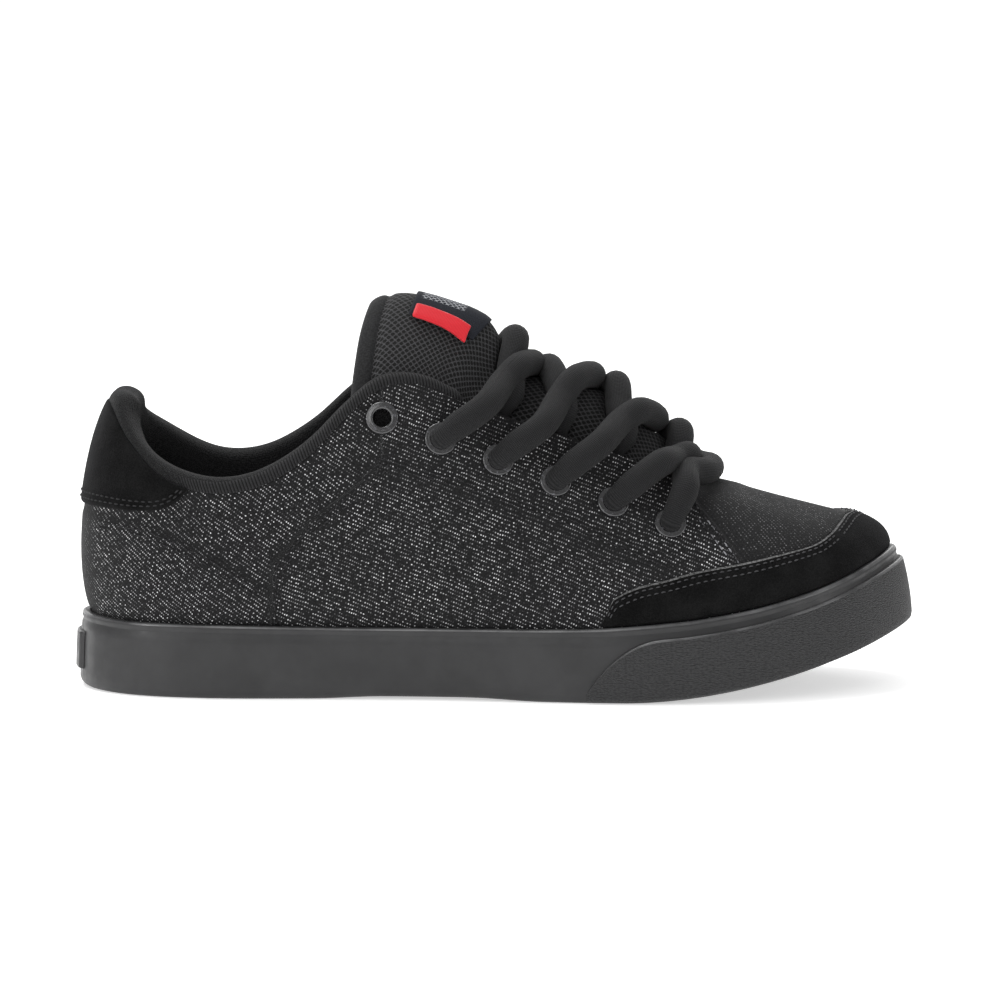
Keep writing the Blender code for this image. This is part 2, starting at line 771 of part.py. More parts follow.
def eyelet_cutter(frame):
    radius = EYELET_BORE + EYELET_METAL + GAP
    bm = bmesh.new()
    bmesh.ops.create_cone(bm, cap_ends=True, segments=8, radius1=radius, radius2=radius,
                          depth=4 * UPPER_WALL, matrix=frame)
    mesh = bpy.data.meshes.new("bore")
    bm.to_mesh(mesh)
    bm.free()
    cutter = bpy.data.objects.new("bore", mesh)
    cutter.hide_render = True
    cutter.display_type = "WIRE"
    bpy.context.scene.collection.objects.link(cutter)
    return cutter


def make_eyelets(finish):
    """Enamelled eyelets: a flange on the facing and a barrel through it."""
    seat = EYELET_SEAT
    sleeve = EYELET_BORE + EYELET_METAL
    profile = ((EYELET_BORE, -UPPER_WALL), (sleeve, -UPPER_WALL), (sleeve, seat),
               (EYELET_FLANGE, seat), (EYELET_FLANGE - 0.0005, seat + EYELET_METAL),
               (EYELET_BORE + 0.0004, seat + EYELET_METAL * 1.2))
    for side, name in ((LATERAL, "lateral"), (MEDIAL, "medial")):
        for pair in range(EYELET_PAIRS):
            bm = turned(profile, 8, eyelet_frame(pair, side))
            add_object(f"eyelet_{name}_{pair + 1}", bm, finish)


def level_at_height(turn, height):
    """Level of the skin that lies at a height, kept off the lip and the top edge."""
    return bisect(lambda level: base_skin(turn, level).z, height, LOWEST_COVER, HIGHEST_COVER)


def make_cover(name, rows, tall, first, last, finish):
    """Suede cover cut from the skin between two heights, standing proud of the upper."""
    outer, inner = [], []
    for turn in columns_between(first, last):
        section = turn if turn <= TOE_SECTION else 2 * TOE_SECTION - turn
        low = level_at_height(turn, tall * lookup(rows, "section", "low", abs(section)))
        high = level_at_height(turn, tall * lookup(rows, "section", "high", abs(section)))
        levels = [low + (high - low) * step / 3 for step in range(4)]
        outer.append([skin(turn, level, -1.6 * GAP - OVERLAY_THICKNESS) for level in levels])
        inner.append([skin(turn, level, -1.6 * GAP) for level in levels])
    bm = bmesh.new()
    sheet_body(bm, outer, inner)
    return add_object(name, bm, finish)


def collar_thickness(section):
    return COLLAR_PADDING * smooth(COLLAR_FULLNESS, section, mirrored=True)


def make_collar(finish):
    """Padded knit lining: a roll over the top edge and a cushion down the inside."""
    lining = UPPER_WALL + 2.4 * GAP
    sections = []
    for turn in columns_between(-COLLAR_END, COLLAR_END):
        thick = collar_thickness(abs(turn))
        rise = COLLAR_ROLL * smooth(COLLAR_RISE, abs(turn), mirrored=True)
        roll = lining + 0.5 * thick + 0.0012
        loop = [skin(turn, 1, 0.0002, 1.8 * GAP), skin(turn, 1, -0.0004, 0.45 * rise),
                skin(turn, 1, 0.0010, 0.88 * rise), skin(turn, 1, 0.5 * roll + 0.0006, rise),
                skin(turn, 1, roll + 0.0008, 0.80 * rise),
                skin(turn, 1, lining + 0.80 * thick, 0.20 * rise)]
        length = meridian(turn)
        reach = min(COLLAR_DEPTH, 0.62 * length)
        for share, fullness in ((0.22, 1.0), (0.55, 1.0), (0.85, 0.62), (1.0, 0.14)):
            loop.append(skin(turn, 1 - share * reach / length, lining + fullness * thick))
        for share in (1.0, 0.66, 0.33):
            loop.append(skin(turn, 1 - share * reach / length, lining))
        loop.append(skin(turn, 1, lining, 1.8 * GAP))
        sections.append(loop)
    bm = bmesh.new()
    add_ring_body(bm, sections, closed_run=False)
    return add_object("collar_padding", bm, finish)


def tongue_section(row):
    return smooth([crown.section for crown in TONGUE_RIDGE], row)


def tongue_station(row, across):
    """Point of the tongue's outer face: row is a real index into the ridge table or, past
    its end, into the tail below the vamp; across runs from -1 lateral to 1 medial."""
    last = len(TONGUE_RIDGE) - 1
    side = LATERAL if across < 0 else MEDIAL
    reach = abs(across)
    if row > last:
        section = TAIL_SECTION + (TOE_SECTION - TAIL_SECTION) * (1 - reach)
        tail = max(row - last - 1, 0) / 2
        under = skin(side * section, 1 - TAIL_REACH * tail, UPPER_WALL + TAIL_CLEARANCE)
        return tongue_station(last, across).lerp(under, min(row - last, 1))
    section = tongue_section(row)
    lining = UPPER_WALL + GAP
    if section < COLLAR_END + 0.3:
        lining += max(collar_thickness(section) + COLLAR_CLEARANCE, LACE_ROOM)
    else:
        lining += LACE_ROOM
    fade = min(1.0, (TAIL_SECTION - section) / 0.8)
    depth = lining * fade + (UPPER_WALL + TAIL_CLEARANCE) * (1 - fade)
    x = along_to_x(smooth([crown.along for crown in TONGUE_RIDGE], row))
    crest = Vector((x, swing(x), TONGUE_HEIGHT
                    * smooth([crown.height for crown in TONGUE_RIDGE], row)))
    facing = skin(side * section, 1, depth)
    wing = skin(side * section, 1 - 0.016 / meridian(side * section), depth)
    middle = crest.lerp(facing, 0.52)
    middle += (crest - Vector((crest.x, crest.y, facing.z))) * 0.235
    knots = [crest, middle, facing, wing]
    values = [Vector(knot) for knot in knots]
    place = reach * 3
    return Vector([smooth([value[axis] for value in values], place, mirrored=(axis != 1))
                   for axis in range(3)])


def tongue_point(row, across, depth=0.0):
    """Point at a depth under the tongue's outer face."""
    end = len(TONGUE_RIDGE) + 2
    before, after = max(row - 0.2, 0), min(row + 0.2, end)
    left, right = max(across - 0.06, -1), min(across + 0.06, 1)
    run = tongue_station(after, across) - tongue_station(before, across)
    width = tongue_station(row, right) - tongue_station(row, left)
    normal = run.cross(width).normalized()
    return tongue_station(row, across) - normal * depth


def make_tongue(finish):
    """Padded tongue, from its rounded top edge down to its end below the vamp."""
    last = len(TONGUE_RIDGE) - 1
    rows = [0.0, 0.25, 0.7] + [float(row) for row in range(1, last + 4)]
    shares = (0.45, 0.85, 1.0) + (1.0,) * (last + 3)
    across = turns(-1, 1, 14)
    outer, inner = [], []
    for row, share in zip(rows, shares):
        share_row = smooth([crown.thickness for crown in TONGUE_RIDGE], min(row, last))
        thick = TONGUE_THICKNESS * share_row * share
        trim = TONGUE_THICKNESS * share_row * (1 - share) / 2
        outer.append([tongue_point(row, place, trim) for place in across])
        inner.append([tongue_point(row, place, trim + thick * (1 - 0.62 * abs(place) ** 4))
                      for place in across])
    bm = bmesh.new()
    sheet_body(bm, outer, inner)
    return add_object("tongue", bm, finish)


def make_tongue_label(finish):
    """Woven label sewn along the middle of the tongue."""
    low = 1.8 * GAP
    outer, inner = [], []
    for row in turns(TONGUE_LABEL_START, TONGUE_LABEL_END, 6):
        across = turns(-TONGUE_LABEL_HALF, TONGUE_LABEL_HALF, 6)
        outer.append([tongue_point(row, place, -low - LABEL_THICKNESS) for place in across])
        inner.append([tongue_point(row, place, -low) for place in across])
    bm = bmesh.new()
    sheet_body(bm, outer, inner)
    return add_object("tongue_label", bm, finish)


def make_tongue_tab(finish):
    """Plain folded strip along the lateral edge of the label."""
    low = 2.8 * GAP + LABEL_THICKNESS
    outer, inner = [], []
    for row in turns(TONGUE_TAB_START, TONGUE_TAB_END, 4):
        across = turns(-TONGUE_LABEL_HALF - 0.03, -TONGUE_TAB_INNER, 2)
        outer.append([tongue_point(row, place, -low - 0.0012) for place in across])
        inner.append([tongue_point(row, place, -low) for place in across])
    bm = bmesh.new()
    sheet_body(bm, outer, inner)
    return add_object("tongue_tab", bm, finish)


def tube(bm, points, radius, sides=7):
    """Closed tube along a smooth curve through points."""
    path = []
    for index in range(len(points) - 1):
        for step in range(2):
            at = index + step / 2
            path.append(Vector([smooth([point[axis] for point in points], at)
                                for axis in range(3)]))
    path.append(points[-1].copy())
    sections = []
    for index, point in enumerate(path):
        before, after = path[max(index - 1, 0)], path[min(index + 1, len(path) - 1)]
        run = (after - before).normalized()
        flat = run.cross(Vector((0, 0, 1))).normalized()
        rise = flat.cross(run)
        sections.append([point + radius * (flat * math.cos(2 * math.pi * side / sides)
                                           + rise * math.sin(2 * math.pi * side / sides))
                         for side in range(sides)])
    add_ring_body(bm, sections, closed_run=False)


def facing_row(x):
    """Row of the tongue flanked by the facings' edge at a given x."""
    return bisect(lambda row: top_edge(tongue_section(row), LATERAL).x, x,
                  0.0, len(TONGUE_RIDGE) - 1)


def crest_row(along):
    """Row of the tongue whose ridge lies at a share of the shoe's length."""
    return bisect(lambda row: smooth([crown.along for crown in TONGUE_RIDGE], row), along,
                  0.0, len(TONGUE_RIDGE) - 1)


def lace_seat():
    """Height of a lace's middle above the facing where it lies on an eyelet."""
    return LACE_OVER_EYELET + EYELET_SEAT + 1.2 * EYELET_METAL + LACE_RADIUS


def lace_run(pair, side, lift):
    """Points of one lace from an eyelet over the tongue to the opposite facing's edge."""
    turn, level = eyelet_turn(pair, side)
    near = eyelet_x(pair) + LACE_LEAVES
    far = eyelet_x(pair + 1) + LACE_ENTERS
    edge_section = bisect(lambda at: top_edge(at, side).x, near, COLLAR_END - 1, TOE_SECTION)
    points = [skin(turn, level, -lace_seat()),
              skin(side * edge_section, 1, -LACE_RADIUS - 5 * GAP)]
    rest = -LACE_RADIUS - 4 * GAP
    crossing = LACE_CRESTS[pair - 1]
    crest = crest_row(crossing.lateral if side == LATERAL else crossing.medial)
    first, last = facing_row(near), facing_row(far)
    for across, rise in LACE_ARCH:
        share = abs(across) / FACING_REACH
        row = crest + ((first if across > 0 else last) - crest) * share
        points.append(tongue_point(row, side * across, rest - lift * rise))
    return points


def make_laces(finish):
    """Four crossings, each two laces in one body, and the straight bar at the vamp."""
    for pair in range(1, EYELET_PAIRS - 1):
        bodies = []
        for side, lift in ((LATERAL, LACE_STACK * LACE_RADIUS), (MEDIAL, 0.0)):
            bm = bmesh.new()
            tube(bm, lace_run(pair, side, lift), LACE_RADIUS)
            bodies.append(add_object(f"lace_crossing_{pair}", bm, finish))
        unite(bodies[0], bodies[1])
        bodies[0].name = f"lace_crossing_{pair}"
    points = []
    for side in (LATERAL, MEDIAL):
        turn, level = eyelet_turn(EYELET_PAIRS - 1, side)
        half = [skin(turn, level, -lace_seat()),
                skin((turn + side * BAR_SECTIONS[0]) / 2, (level + 1) / 2, -lace_seat())]
        half += [skin(side * section, 1, -LACE_RADIUS - 4 * GAP) for section in BAR_SECTIONS]
        points += half if side == LATERAL else list(reversed(half))[1:]
    bm = bmesh.new()
    tube(bm, points, LACE_RADIUS)
    add_object("lace_bar", bm, finish)


def main():
    for old in list(bpy.data.objects):
        bpy.data.objects.remove(old)
    rubber = material("rubber_dark_grey", (0.055, 0.055, 0.057), 0.55)
    toe_rubber = material("rubber_toe_bumper", (0.065, 0.065, 0.067), 0.75)
    label_rubber = material("rubber_heel_label", (0.050, 0.050, 0.052), 0.60)
    denim = material("denim_black_fleck", (0.042, 0.042, 0.043), 0.95)
    suede = material("suede_black", (0.013, 0.013, 0.014), 1.0)
    knit = material("knit_collar", (0.030, 0.030, 0.031), 0.95)
    foam = material("fabric_insole", (0.015, 0.015, 0.016), 0.95)
    mesh = material("mesh_tongue", (0.028, 0.028, 0.029), 0.90)
    woven = material("woven_label", (0.090, 0.095, 0.110), 0.85)
    red = material("woven_tab_red", (0.80, 0.030, 0.040), 0.75)
    enamel = material("enamelled_eyelet", (0.012, 0.012, 0.013), 0.35)
    cord = material("round_lace_black", (0.020, 0.020, 0.021), 0.90)
    make_cupsole(rubber)
    make_bumper(toe_rubber)
    make_heel_label(label_rubber)
    make_insole(foam)
    make_upper(denim)
    toe = 2 * TOE_SECTION
    make_cover("toe_band", TOE_BAND, INSTEP_HEIGHT, TOE_BAND[0].section,
               toe - TOE_BAND[0].section, suede)
    make_cover("heel_patch", HEEL_PATCH, HEEL_HEIGHT, -HEEL_PATCH[-1].section,
               HEEL_PATCH[-1].section, suede)
    make_collar(knit)
    make_tongue(mesh)
    make_tongue_label(woven)
    make_tongue_tab(red)
    make_eyelets(enamel)
    make_laces(cord)


main()
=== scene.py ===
# %% [markdown]
# # A low-top skateboarding shoe
#
# The real shoe is a cupsole shoe for skateboarding: black denim with a pale weft, suede at the
# toe and heel, a padded knit collar, a puffy mesh tongue and fat round laces. The frame that is
# loaded here holds the plain solid of every piece. This lesson makes the finished piece for each,
# and leaves the frame's own meshes alone, because a finished piece only has to cover its solid.

# %% Load the frame and measure it
import math
import random

import bmesh
import bpy
import numpy as np
from mathutils import Matrix, Vector


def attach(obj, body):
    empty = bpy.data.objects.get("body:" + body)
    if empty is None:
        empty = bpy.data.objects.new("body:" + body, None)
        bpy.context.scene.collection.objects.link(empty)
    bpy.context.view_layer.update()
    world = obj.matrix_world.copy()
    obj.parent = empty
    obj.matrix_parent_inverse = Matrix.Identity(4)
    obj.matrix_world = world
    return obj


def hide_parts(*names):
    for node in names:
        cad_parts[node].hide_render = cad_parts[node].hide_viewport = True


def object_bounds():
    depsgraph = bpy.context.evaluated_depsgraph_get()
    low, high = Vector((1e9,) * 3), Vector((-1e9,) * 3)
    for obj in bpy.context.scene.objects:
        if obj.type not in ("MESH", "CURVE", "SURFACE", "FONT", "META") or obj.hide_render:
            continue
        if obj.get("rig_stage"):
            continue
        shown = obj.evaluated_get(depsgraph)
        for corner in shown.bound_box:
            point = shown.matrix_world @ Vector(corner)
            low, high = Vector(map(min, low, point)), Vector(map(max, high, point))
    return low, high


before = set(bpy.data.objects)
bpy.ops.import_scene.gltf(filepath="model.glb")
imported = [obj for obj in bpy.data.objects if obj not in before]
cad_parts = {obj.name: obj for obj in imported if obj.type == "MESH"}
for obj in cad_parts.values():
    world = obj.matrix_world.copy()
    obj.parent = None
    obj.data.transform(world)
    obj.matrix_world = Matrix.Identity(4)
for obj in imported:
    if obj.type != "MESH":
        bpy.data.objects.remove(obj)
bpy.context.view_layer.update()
bpy.ops.object.select_all(action="DESELECT")
random.seed(7)

# %% [markdown]
# ## The stage
#
# A product photograph of a shoe is taken with a long lens a little above the sole, on white paper
# that curves up behind it. The camera, the paper and the lights come first, so that every piece
# can be judged in the same picture from the start.

# %% Place the camera
MM = 0.001
CAMERA_RISE = math.radians(6.0)
CAMERA_DISTANCE = 1.6
LOOKS_AT = Vector((0.00176, 0.0, 0.0649))

back = Vector((0, -math.cos(CAMERA_RISE), math.sin(CAMERA_RISE)))
bpy.ops.object.camera_add(location=LOOKS_AT + back * CAMERA_DISTANCE,
                          rotation=(math.pi / 2 - CAMERA_RISE, 0, 0))
camera = bpy.context.object
camera.name = "photo_camera"
camera.data.sensor_width = 36
camera.data.lens = 163.6
camera.data.clip_end = 60
bpy.context.scene.camera = camera
# the colours below were judged on a photograph, so the picture keeps the plain sRGB curve
bpy.context.scene.view_settings.view_transform = "Standard"


# %% Colours and nodes
def linear(code):
    """An sRGB hex colour as linear red, green, blue and alpha."""
    parts = [int(code[place:place + 2], 16) / 255 for place in (1, 3, 5)]
    made = [part / 12.92 if part < 0.04045 else ((part + 0.055) / 1.055) ** 2.4 for part in parts]
    return (*made, 1.0)


def node(kind, links=None, into="", out=0, **settings):
    """Add one node with its settings to the material in work. links names or numbers its inputs,
    each a value, a socket, or another node whose first output is used. into names the input of
    the material's shader that takes the output numbered out."""
    made = tree.nodes.new("ShaderNode" + kind)
    for name, value in settings.items():
        setattr(made, name, value)
    for name, value in (links.items() if isinstance(links, dict) else enumerate(links or ())):
        if isinstance(value, bpy.types.Node):
            value = value.outputs[0]
        if isinstance(value, bpy.types.NodeSocket):
            tree.links.new(value, made.inputs[name])
        else:
            made.inputs[name].default_value = value
    if into:
        tree.links.new(made.outputs[out], shader.inputs[into])
    return made


def material(name, roughness, uv_map="", **sockets):
    """Start a Principled material, which is then the one in work. Returns it and its coordinates
    in mm, which come from the piece's own UV map or else from its place on the object."""
    global tree, shader
    made = bpy.data.materials.new(name)
    made.use_nodes = True
    tree = made.node_tree
    shader = tree.nodes["Principled BSDF"]
    shader.inputs["Roughness"].default_value = roughness
    for socket, value in sockets.items():
        shader.inputs[socket.replace("_", " ")].default_value = value
    metres = node("UVMap", uv_map=uv_map) if uv_map else node("TexCoord").outputs["Object"]
    return made, node("VectorMath", {0: metres, "Scale": 1000}, operation="SCALE")


# %% [markdown]
# ### Paper and lights
#
# A photographer rolls white paper down a wall and along a table. A plane does the same when its
# far edge is extruded upwards and the fold is rounded with a bevel, which needs no new points in
# code. Large soft lamps are used, because a small lamp would draw hard spots on rubber.

# %% Roll out the paper
# white background paper: matt, and lit so evenly that only contact shadows show
studio_paper, mm = material("studio_paper", 0.9)
shader.inputs["Base Color"].default_value = linear("#F4F4F4")
shader.inputs["Emission Color"].default_value = linear("#FFFFFF")
shader.inputs["Emission Strength"].default_value = 0.52

bpy.ops.mesh.primitive_plane_add(size=9, location=(0, 0, 0))
paper = bpy.context.object
paper.name = "paper_sweep"
bpy.ops.object.mode_set(mode="EDIT")
bpy.ops.mesh.select_mode(type="EDGE")
bpy.ops.mesh.select_all(action="DESELECT")
bm = bmesh.from_edit_mesh(paper.data)
for edge in bm.edges:
    edge.select = all(corner.co.y > 4 for corner in edge.verts)
bmesh.update_edit_mesh(paper.data)
bpy.ops.mesh.extrude_edges_move(TRANSFORM_OT_translate={"value": (0, 0, 5)})
bpy.ops.object.mode_set(mode="OBJECT")
roll = paper.modifiers.new("roll", "BEVEL")
roll.width = 2.0
roll.segments = 12
bpy.ops.object.modifier_apply(modifier="roll")
bpy.ops.object.shade_smooth()
paper.data.materials.append(studio_paper)
paper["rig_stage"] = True
print("paper faces:", len(paper.data.polygons))

# %% Hang the lights
LIGHTS = (
    # name, place in metres, size in metres, watts
    ("overhead_softbox", (-0.45, 0.35, 1.5), 0.9, 19.0),
    ("front_softbox", (-0.5, -1.6, 0.9), 0.9, 5.0),
    ("toe_softbox", (1.4, -0.6, 0.6), 0.5, 2.5),
    ("heel_softbox", (-1.2, -0.9, 0.5), 0.4, 3.4),
    ("far_softbox", (0.3, 1.5, 1.1), 0.8, 4.0))
for name, place, size, watts in LIGHTS:
    aim = (Vector((0, 0, 0.05)) - Vector(place)).to_track_quat("-Z", "Y").to_euler()
    bpy.ops.object.light_add(type="AREA", location=place, rotation=aim)
    lamp = bpy.context.object
    lamp.name = name
    lamp.data.size = size
    lamp.data.energy = watts

world = bpy.data.worlds.new("white_studio")
world.use_nodes = True
world.node_tree.nodes["Background"].inputs["Color"].default_value = linear("#FFFFFF")
world.node_tree.nodes["Background"].inputs["Strength"].default_value = 0.46
bpy.context.scene.world = world

# %% [markdown]
# ## The shape of the last
#
# A shoe is built round a last, and no primitive comes near its surface, so this one step is made
# in code. The sizes are those of the loaded frame: sections from the heel round to the toe, each
# a curve from the rubber's lip up to the top edge. turn counts the sections, negative on the
# lateral side, and level runs from 0 at the lip to 1 at the top edge. Every later piece asks this
# surface where it lies.

# %% Named sizes in metres
SOLE_LENGTH, BALL_WIDTH, HEEL_HEIGHT, INSTEP_HEIGHT = 0.2930, 0.1075, 0.1005, 0.1090
TONGUE_HEIGHT, TONGUE_THICKNESS = 0.1370, 0.0095
TOE_SPRING, FLOOR_THICKNESS, FOXING_HEIGHT = 0.0215, 0.0085, 0.0262
LIP_THICKNESS, CUP_DRAFT, SOLE_EDGE_ROUND = 0.0028, 0.0022, 0.0030
ARCH_LIFT, HEEL_BEVEL, TOE_SWING = 0.0009, 0.0005, 0.0070
UPPER_WALL, GAP = 0.0022, 0.0003
LACE_RADIUS = 0.0048
TOE_TURN = 16

LATERAL_EDGE = (
    (0.020, 0.178), (0.078, 0.312), (0.168, 0.378), (0.300, 0.384), (0.430, 0.404),
    (0.540, 0.453), (0.648, 0.490), (0.758, 0.468), (0.858, 0.380), (0.944, 0.208))
MEDIAL_EDGE = (
    (0.020, 0.178), (0.078, 0.312), (0.168, 0.368), (0.300, 0.352), (0.430, 0.366),
    (0.545, 0.425), (0.655, 0.482), (0.760, 0.487), (0.868, 0.438), (0.954, 0.312))

# Foxing along the shoe: place, share of its height, lean of its wall
FOXING = (
    (0.000, 1.020, 0.40), (0.060, 0.985, 0.35), (0.160, 0.980, 0.35), (0.330, 0.950, 0.35),
    (0.480, 0.952, 0.35), (0.620, 0.985, 0.35), (0.730, 1.080, 0.45), (0.810, 1.215, 0.60),
    (0.880, 1.395, 0.85), (0.940, 1.605, 1.20), (1.000, 1.850, 1.70))

# Sections: foot, along, across, height, rise, flare, wall, reach, swell, shoulder
HEEL_SECTIONS = (
    (0.000, 0.041, 0.000, 1.000, 0.000, 0.062, 0.42, 1.00, 0.018, 0.84),
    (0.060, 0.048, 0.130, 0.985, 0.010, 0.058, 0.43, 1.00, 0.017, 0.83),
    (0.120, 0.068, 0.219, 0.880, 0.022, 0.050, 0.45, 0.85, 0.018, 0.82),
    (0.180, 0.110, 0.290, 0.756, 0.068, 0.042, 0.50, 0.65, 0.026, 0.81),
    (0.235, 0.168, 0.328, 0.708, 0.044, 0.036, 0.51, 0.55, 0.028, 0.80),
    (0.290, 0.226, 0.333, 0.736, 0.030, 0.031, 0.50, 0.55, 0.028, 0.80))
INSTEP_SECTIONS = (
    (0.340, 0.281, 0.323, 0.772, 0.020, 0.028, 0.48, 0.55, 0.026, 0.78),
    (0.385, 0.328, 0.307, 0.902, 0.008, 0.028, 0.45, 0.52, 0.022, 0.77),
    (0.425, 0.370, 0.292, 0.988, 0.000, 0.026, 0.42, 0.46, 0.018, 0.75),
    (0.465, 0.418, 0.279, 0.989, 0.000, 0.020, 0.40, 0.36, 0.012, 0.74),
    (0.510, 0.466, 0.268, 0.930, 0.000, 0.010, 0.40, 0.26, 0.010, 0.73),
    (0.570, 0.541, 0.258, 0.856, 0.000, -0.010, 0.42, 0.21, 0.006, 0.73),
    (0.635, 0.616, 0.250, 0.788, 0.000, -0.030, 0.45, 0.18, 0.004, 0.73),
    (0.710, 0.684, 0.232, 0.717, 0.000, -0.040, 0.47, 0.20, 0.004, 0.75),
    (0.800, 0.728, 0.180, 0.674, 0.000, -0.016, 0.60, 0.48, 0.006, 0.81),
    (0.900, 0.749, 0.098, 0.668, 0.000, 0.000, 0.76, 0.62, 0.004, 0.81),
    (1.000, 0.757, 0.000, 0.674, 0.000, -0.010, 0.83, 0.66, 0.000, 0.81))


# %% Curves through tables
def smooth(values, at, mirrored=False):
    """Value at a real index, on a Catmull-Rom curve through values."""
    last = len(values) - 1
    at = min(max(at, 0.0), float(last))
    index = min(int(at), last - 1)
    share = at - index
    start, end = values[index], values[index + 1]
    before = values[index - 1] if index > 0 else (end if mirrored else 2 * start - end)
    if index < last - 1:
        after = values[index + 2]
    else:
        after = start if mirrored else 2 * end - start
    slope_in, slope_out, rise = (end - before) / 2, (after - start) / 2, end - start
    return (start + share * slope_in + share ** 2 * (3 * rise - 2 * slope_in - slope_out)
            + share ** 3 * (slope_in + slope_out - 2 * rise))


def lookup(rows, column, at):
    """Value of one column of a table at a value of its first column."""
    keys = [row[0] for row in rows]
    at = min(max(at, keys[0]), keys[-1])
    index = 0
    while index < len(keys) - 2 and at > keys[index + 1]:
        index += 1
    share = (at - keys[index]) / (keys[index + 1] - keys[index])
    return smooth([row[column] for row in rows], index + share)


def bisect(measure, wanted, low, high):
    """Argument at which a rising measure reaches a wanted value."""
    for _ in range(24):
        middle = (low + high) / 2
        if measure(middle) < wanted:
            low = middle
        else:
            high = middle
    return low


def ease(value):
    value = min(max(value, 0.0), 1.0)
    return value * value * (3 - 2 * value)


# %% The sole's edge from above
def half_outline(side):
    """Dense points along one side of the sole's edge, from the heel to the toe."""
    near, far = (LATERAL_EDGE, MEDIAL_EDGE) if side < 0 else (MEDIAL_EDGE, LATERAL_EDGE)

    def place(row, sign):
        return Vector(((row[0] - 0.5) * SOLE_LENGTH, sign * row[1] * BALL_WIDTH, 0))

    toe = place((1.000, 0.075), 1)
    knots = [place(far[0], -side), place((0.0, 0.0), side)]
    knots += [place(row, side) for row in near]
    knots += [toe, place(far[-1], -side)]
    points = []
    for index in range(1, len(knots) - 2):
        before, start, end, after = knots[index - 1:index + 3]
        span = (end - start).length
        slope_in = (end - before) / (1 + (start - before).length / span)
        slope_out = (after - start) / (1 + (after - end).length / span)
        rise = end - start
        for step in range(24):
            share = step / 24
            points.append(start + share * slope_in
                          + share ** 2 * (3 * rise - 2 * slope_in - slope_out)
                          + share ** 3 * (slope_in + slope_out - 2 * rise))
    return points + [toe]


SOLE_EDGE = {}
for side in (-1, 1):
    points = half_outline(side)
    lengths = np.cumsum([0.0] + [(b - a).length for a, b in zip(points, points[1:])])
    SOLE_EDGE[side] = (points, list(lengths / lengths[-1]))
print("sole edge points a side:", len(SOLE_EDGE[-1][0]))


def on_edge(share, side):
    """Point of the sole's edge at a share of the way from the heel to the toe."""
    if share < 0:
        return on_edge(-share, -side)
    if share > 1:
        return on_edge(2 - share, -side)
    points, lengths = SOLE_EDGE[side]
    low = min(int(np.searchsorted(lengths, share, side="right")) - 1, len(points) - 2)
    part = (share - lengths[low]) / (lengths[low + 1] - lengths[low])
    return points[low].lerp(points[low + 1], part)


def outline(share, side, inset=0.0):
    """Point of the sole's edge moved inwards, square to the edge."""
    run = on_edge(share + 0.004, side) - on_edge(share - 0.004, side)
    outward = Vector((run.y, -run.x, 0)).normalized() * (-side)
    return on_edge(share, side) - outward * inset


def ground(x):
    """Height of the tread: flat heel and forefoot, a low arch and the toe spring."""
    along = x / SOLE_LENGTH + 0.5
    arch = ARCH_LIFT * ease((along - 0.28) / 0.09) * ease((0.56 - along) / 0.09)
    spring = max(0.0, (along - 0.655) / 0.345)
    heel = max(0.0, (0.06 - along) / 0.06)
    return arch + TOE_SPRING * spring ** 1.8 + HEEL_BEVEL * heel ** 2


def lip(x):
    return FOXING_HEIGHT * lookup(FOXING, 1, x / SOLE_LENGTH + 0.5)


def lean(x):
    return LIP_THICKNESS * lookup(FOXING, 2, x / SOLE_LENGTH + 0.5)


# %% The outer face of the upper
COLUMNS = [list(values) for values in zip(*(HEEL_SECTIONS + INSTEP_SECTIONS))]
FOOT, ALONG, ACROSS, HEIGHT, RISE, FLARE, WALL, REACH, SWELL, SHOULDER = range(10)
TALL = [HEEL_HEIGHT] * len(HEEL_SECTIONS) + [INSTEP_HEIGHT] * len(INSTEP_SECTIONS)
TOP_HEIGHTS = [share * tall for share, tall in zip(COLUMNS[HEIGHT], TALL)]
TOP_RISES = [share * tall for share, tall in zip(COLUMNS[RISE], TALL)]


def swing(x):
    """Sideways shift of the shoe's middle line, which curves to the medial side."""
    return TOE_SWING * ease((x / SOLE_LENGTH + 0.5 - 0.22) / 0.45)


def top_edge(section, side):
    x = (smooth(COLUMNS[ALONG], section, True) - 0.5) * SOLE_LENGTH
    height = smooth(TOP_HEIGHTS, section, True)
    if side > 0:
        height += smooth(TOP_RISES, section, True)
    return Vector((x, swing(x) + side * smooth(COLUMNS[ACROSS], section) * BALL_WIDTH, height))


def base_skin(turn, level):
    """Outer face of the upper at a turn round the shoe and a level up its side."""
    turn = (turn + TOE_TURN) % (2 * TOE_TURN) - TOE_TURN
    side, section = (-1 if turn < 0 else 1), abs(turn)
    share = smooth(COLUMNS[FOOT], section)
    edge = outline(share, side)
    foot = outline(share, side, lean(edge.x) + LIP_THICKNESS + GAP)
    foot.z = lip(edge.x)
    if level < 0:
        floor = outline(share, side, lean(edge.x) + CUP_DRAFT + LIP_THICKNESS + GAP)
        floor.z = ground(edge.x) + FLOOR_THICKNESS + GAP
        return foot.lerp(floor, -level)
    top = top_edge(section, side)
    outward = foot - outline(share, side, lean(edge.x) + 2 * LIP_THICKNESS + GAP)
    outward.z = 0
    outward.normalize()
    flare, wall, reach, swell, shoulder = (
        smooth(COLUMNS[column], section, True) for column in (FLARE, WALL, REACH, SWELL, SHOULDER))
    lower = foot + outward * flare * BALL_WIDTH
    lower.z = max(wall * top.z, foot.z + 0.002)
    upper = top.lerp(foot, reach) + outward * swell * BALL_WIDTH
    upper.z = shoulder * top.z
    rest = 1 - level
    return (foot * rest ** 3 + lower * 3 * rest ** 2 * level + upper * 3 * rest * level ** 2
            + top * level ** 3)


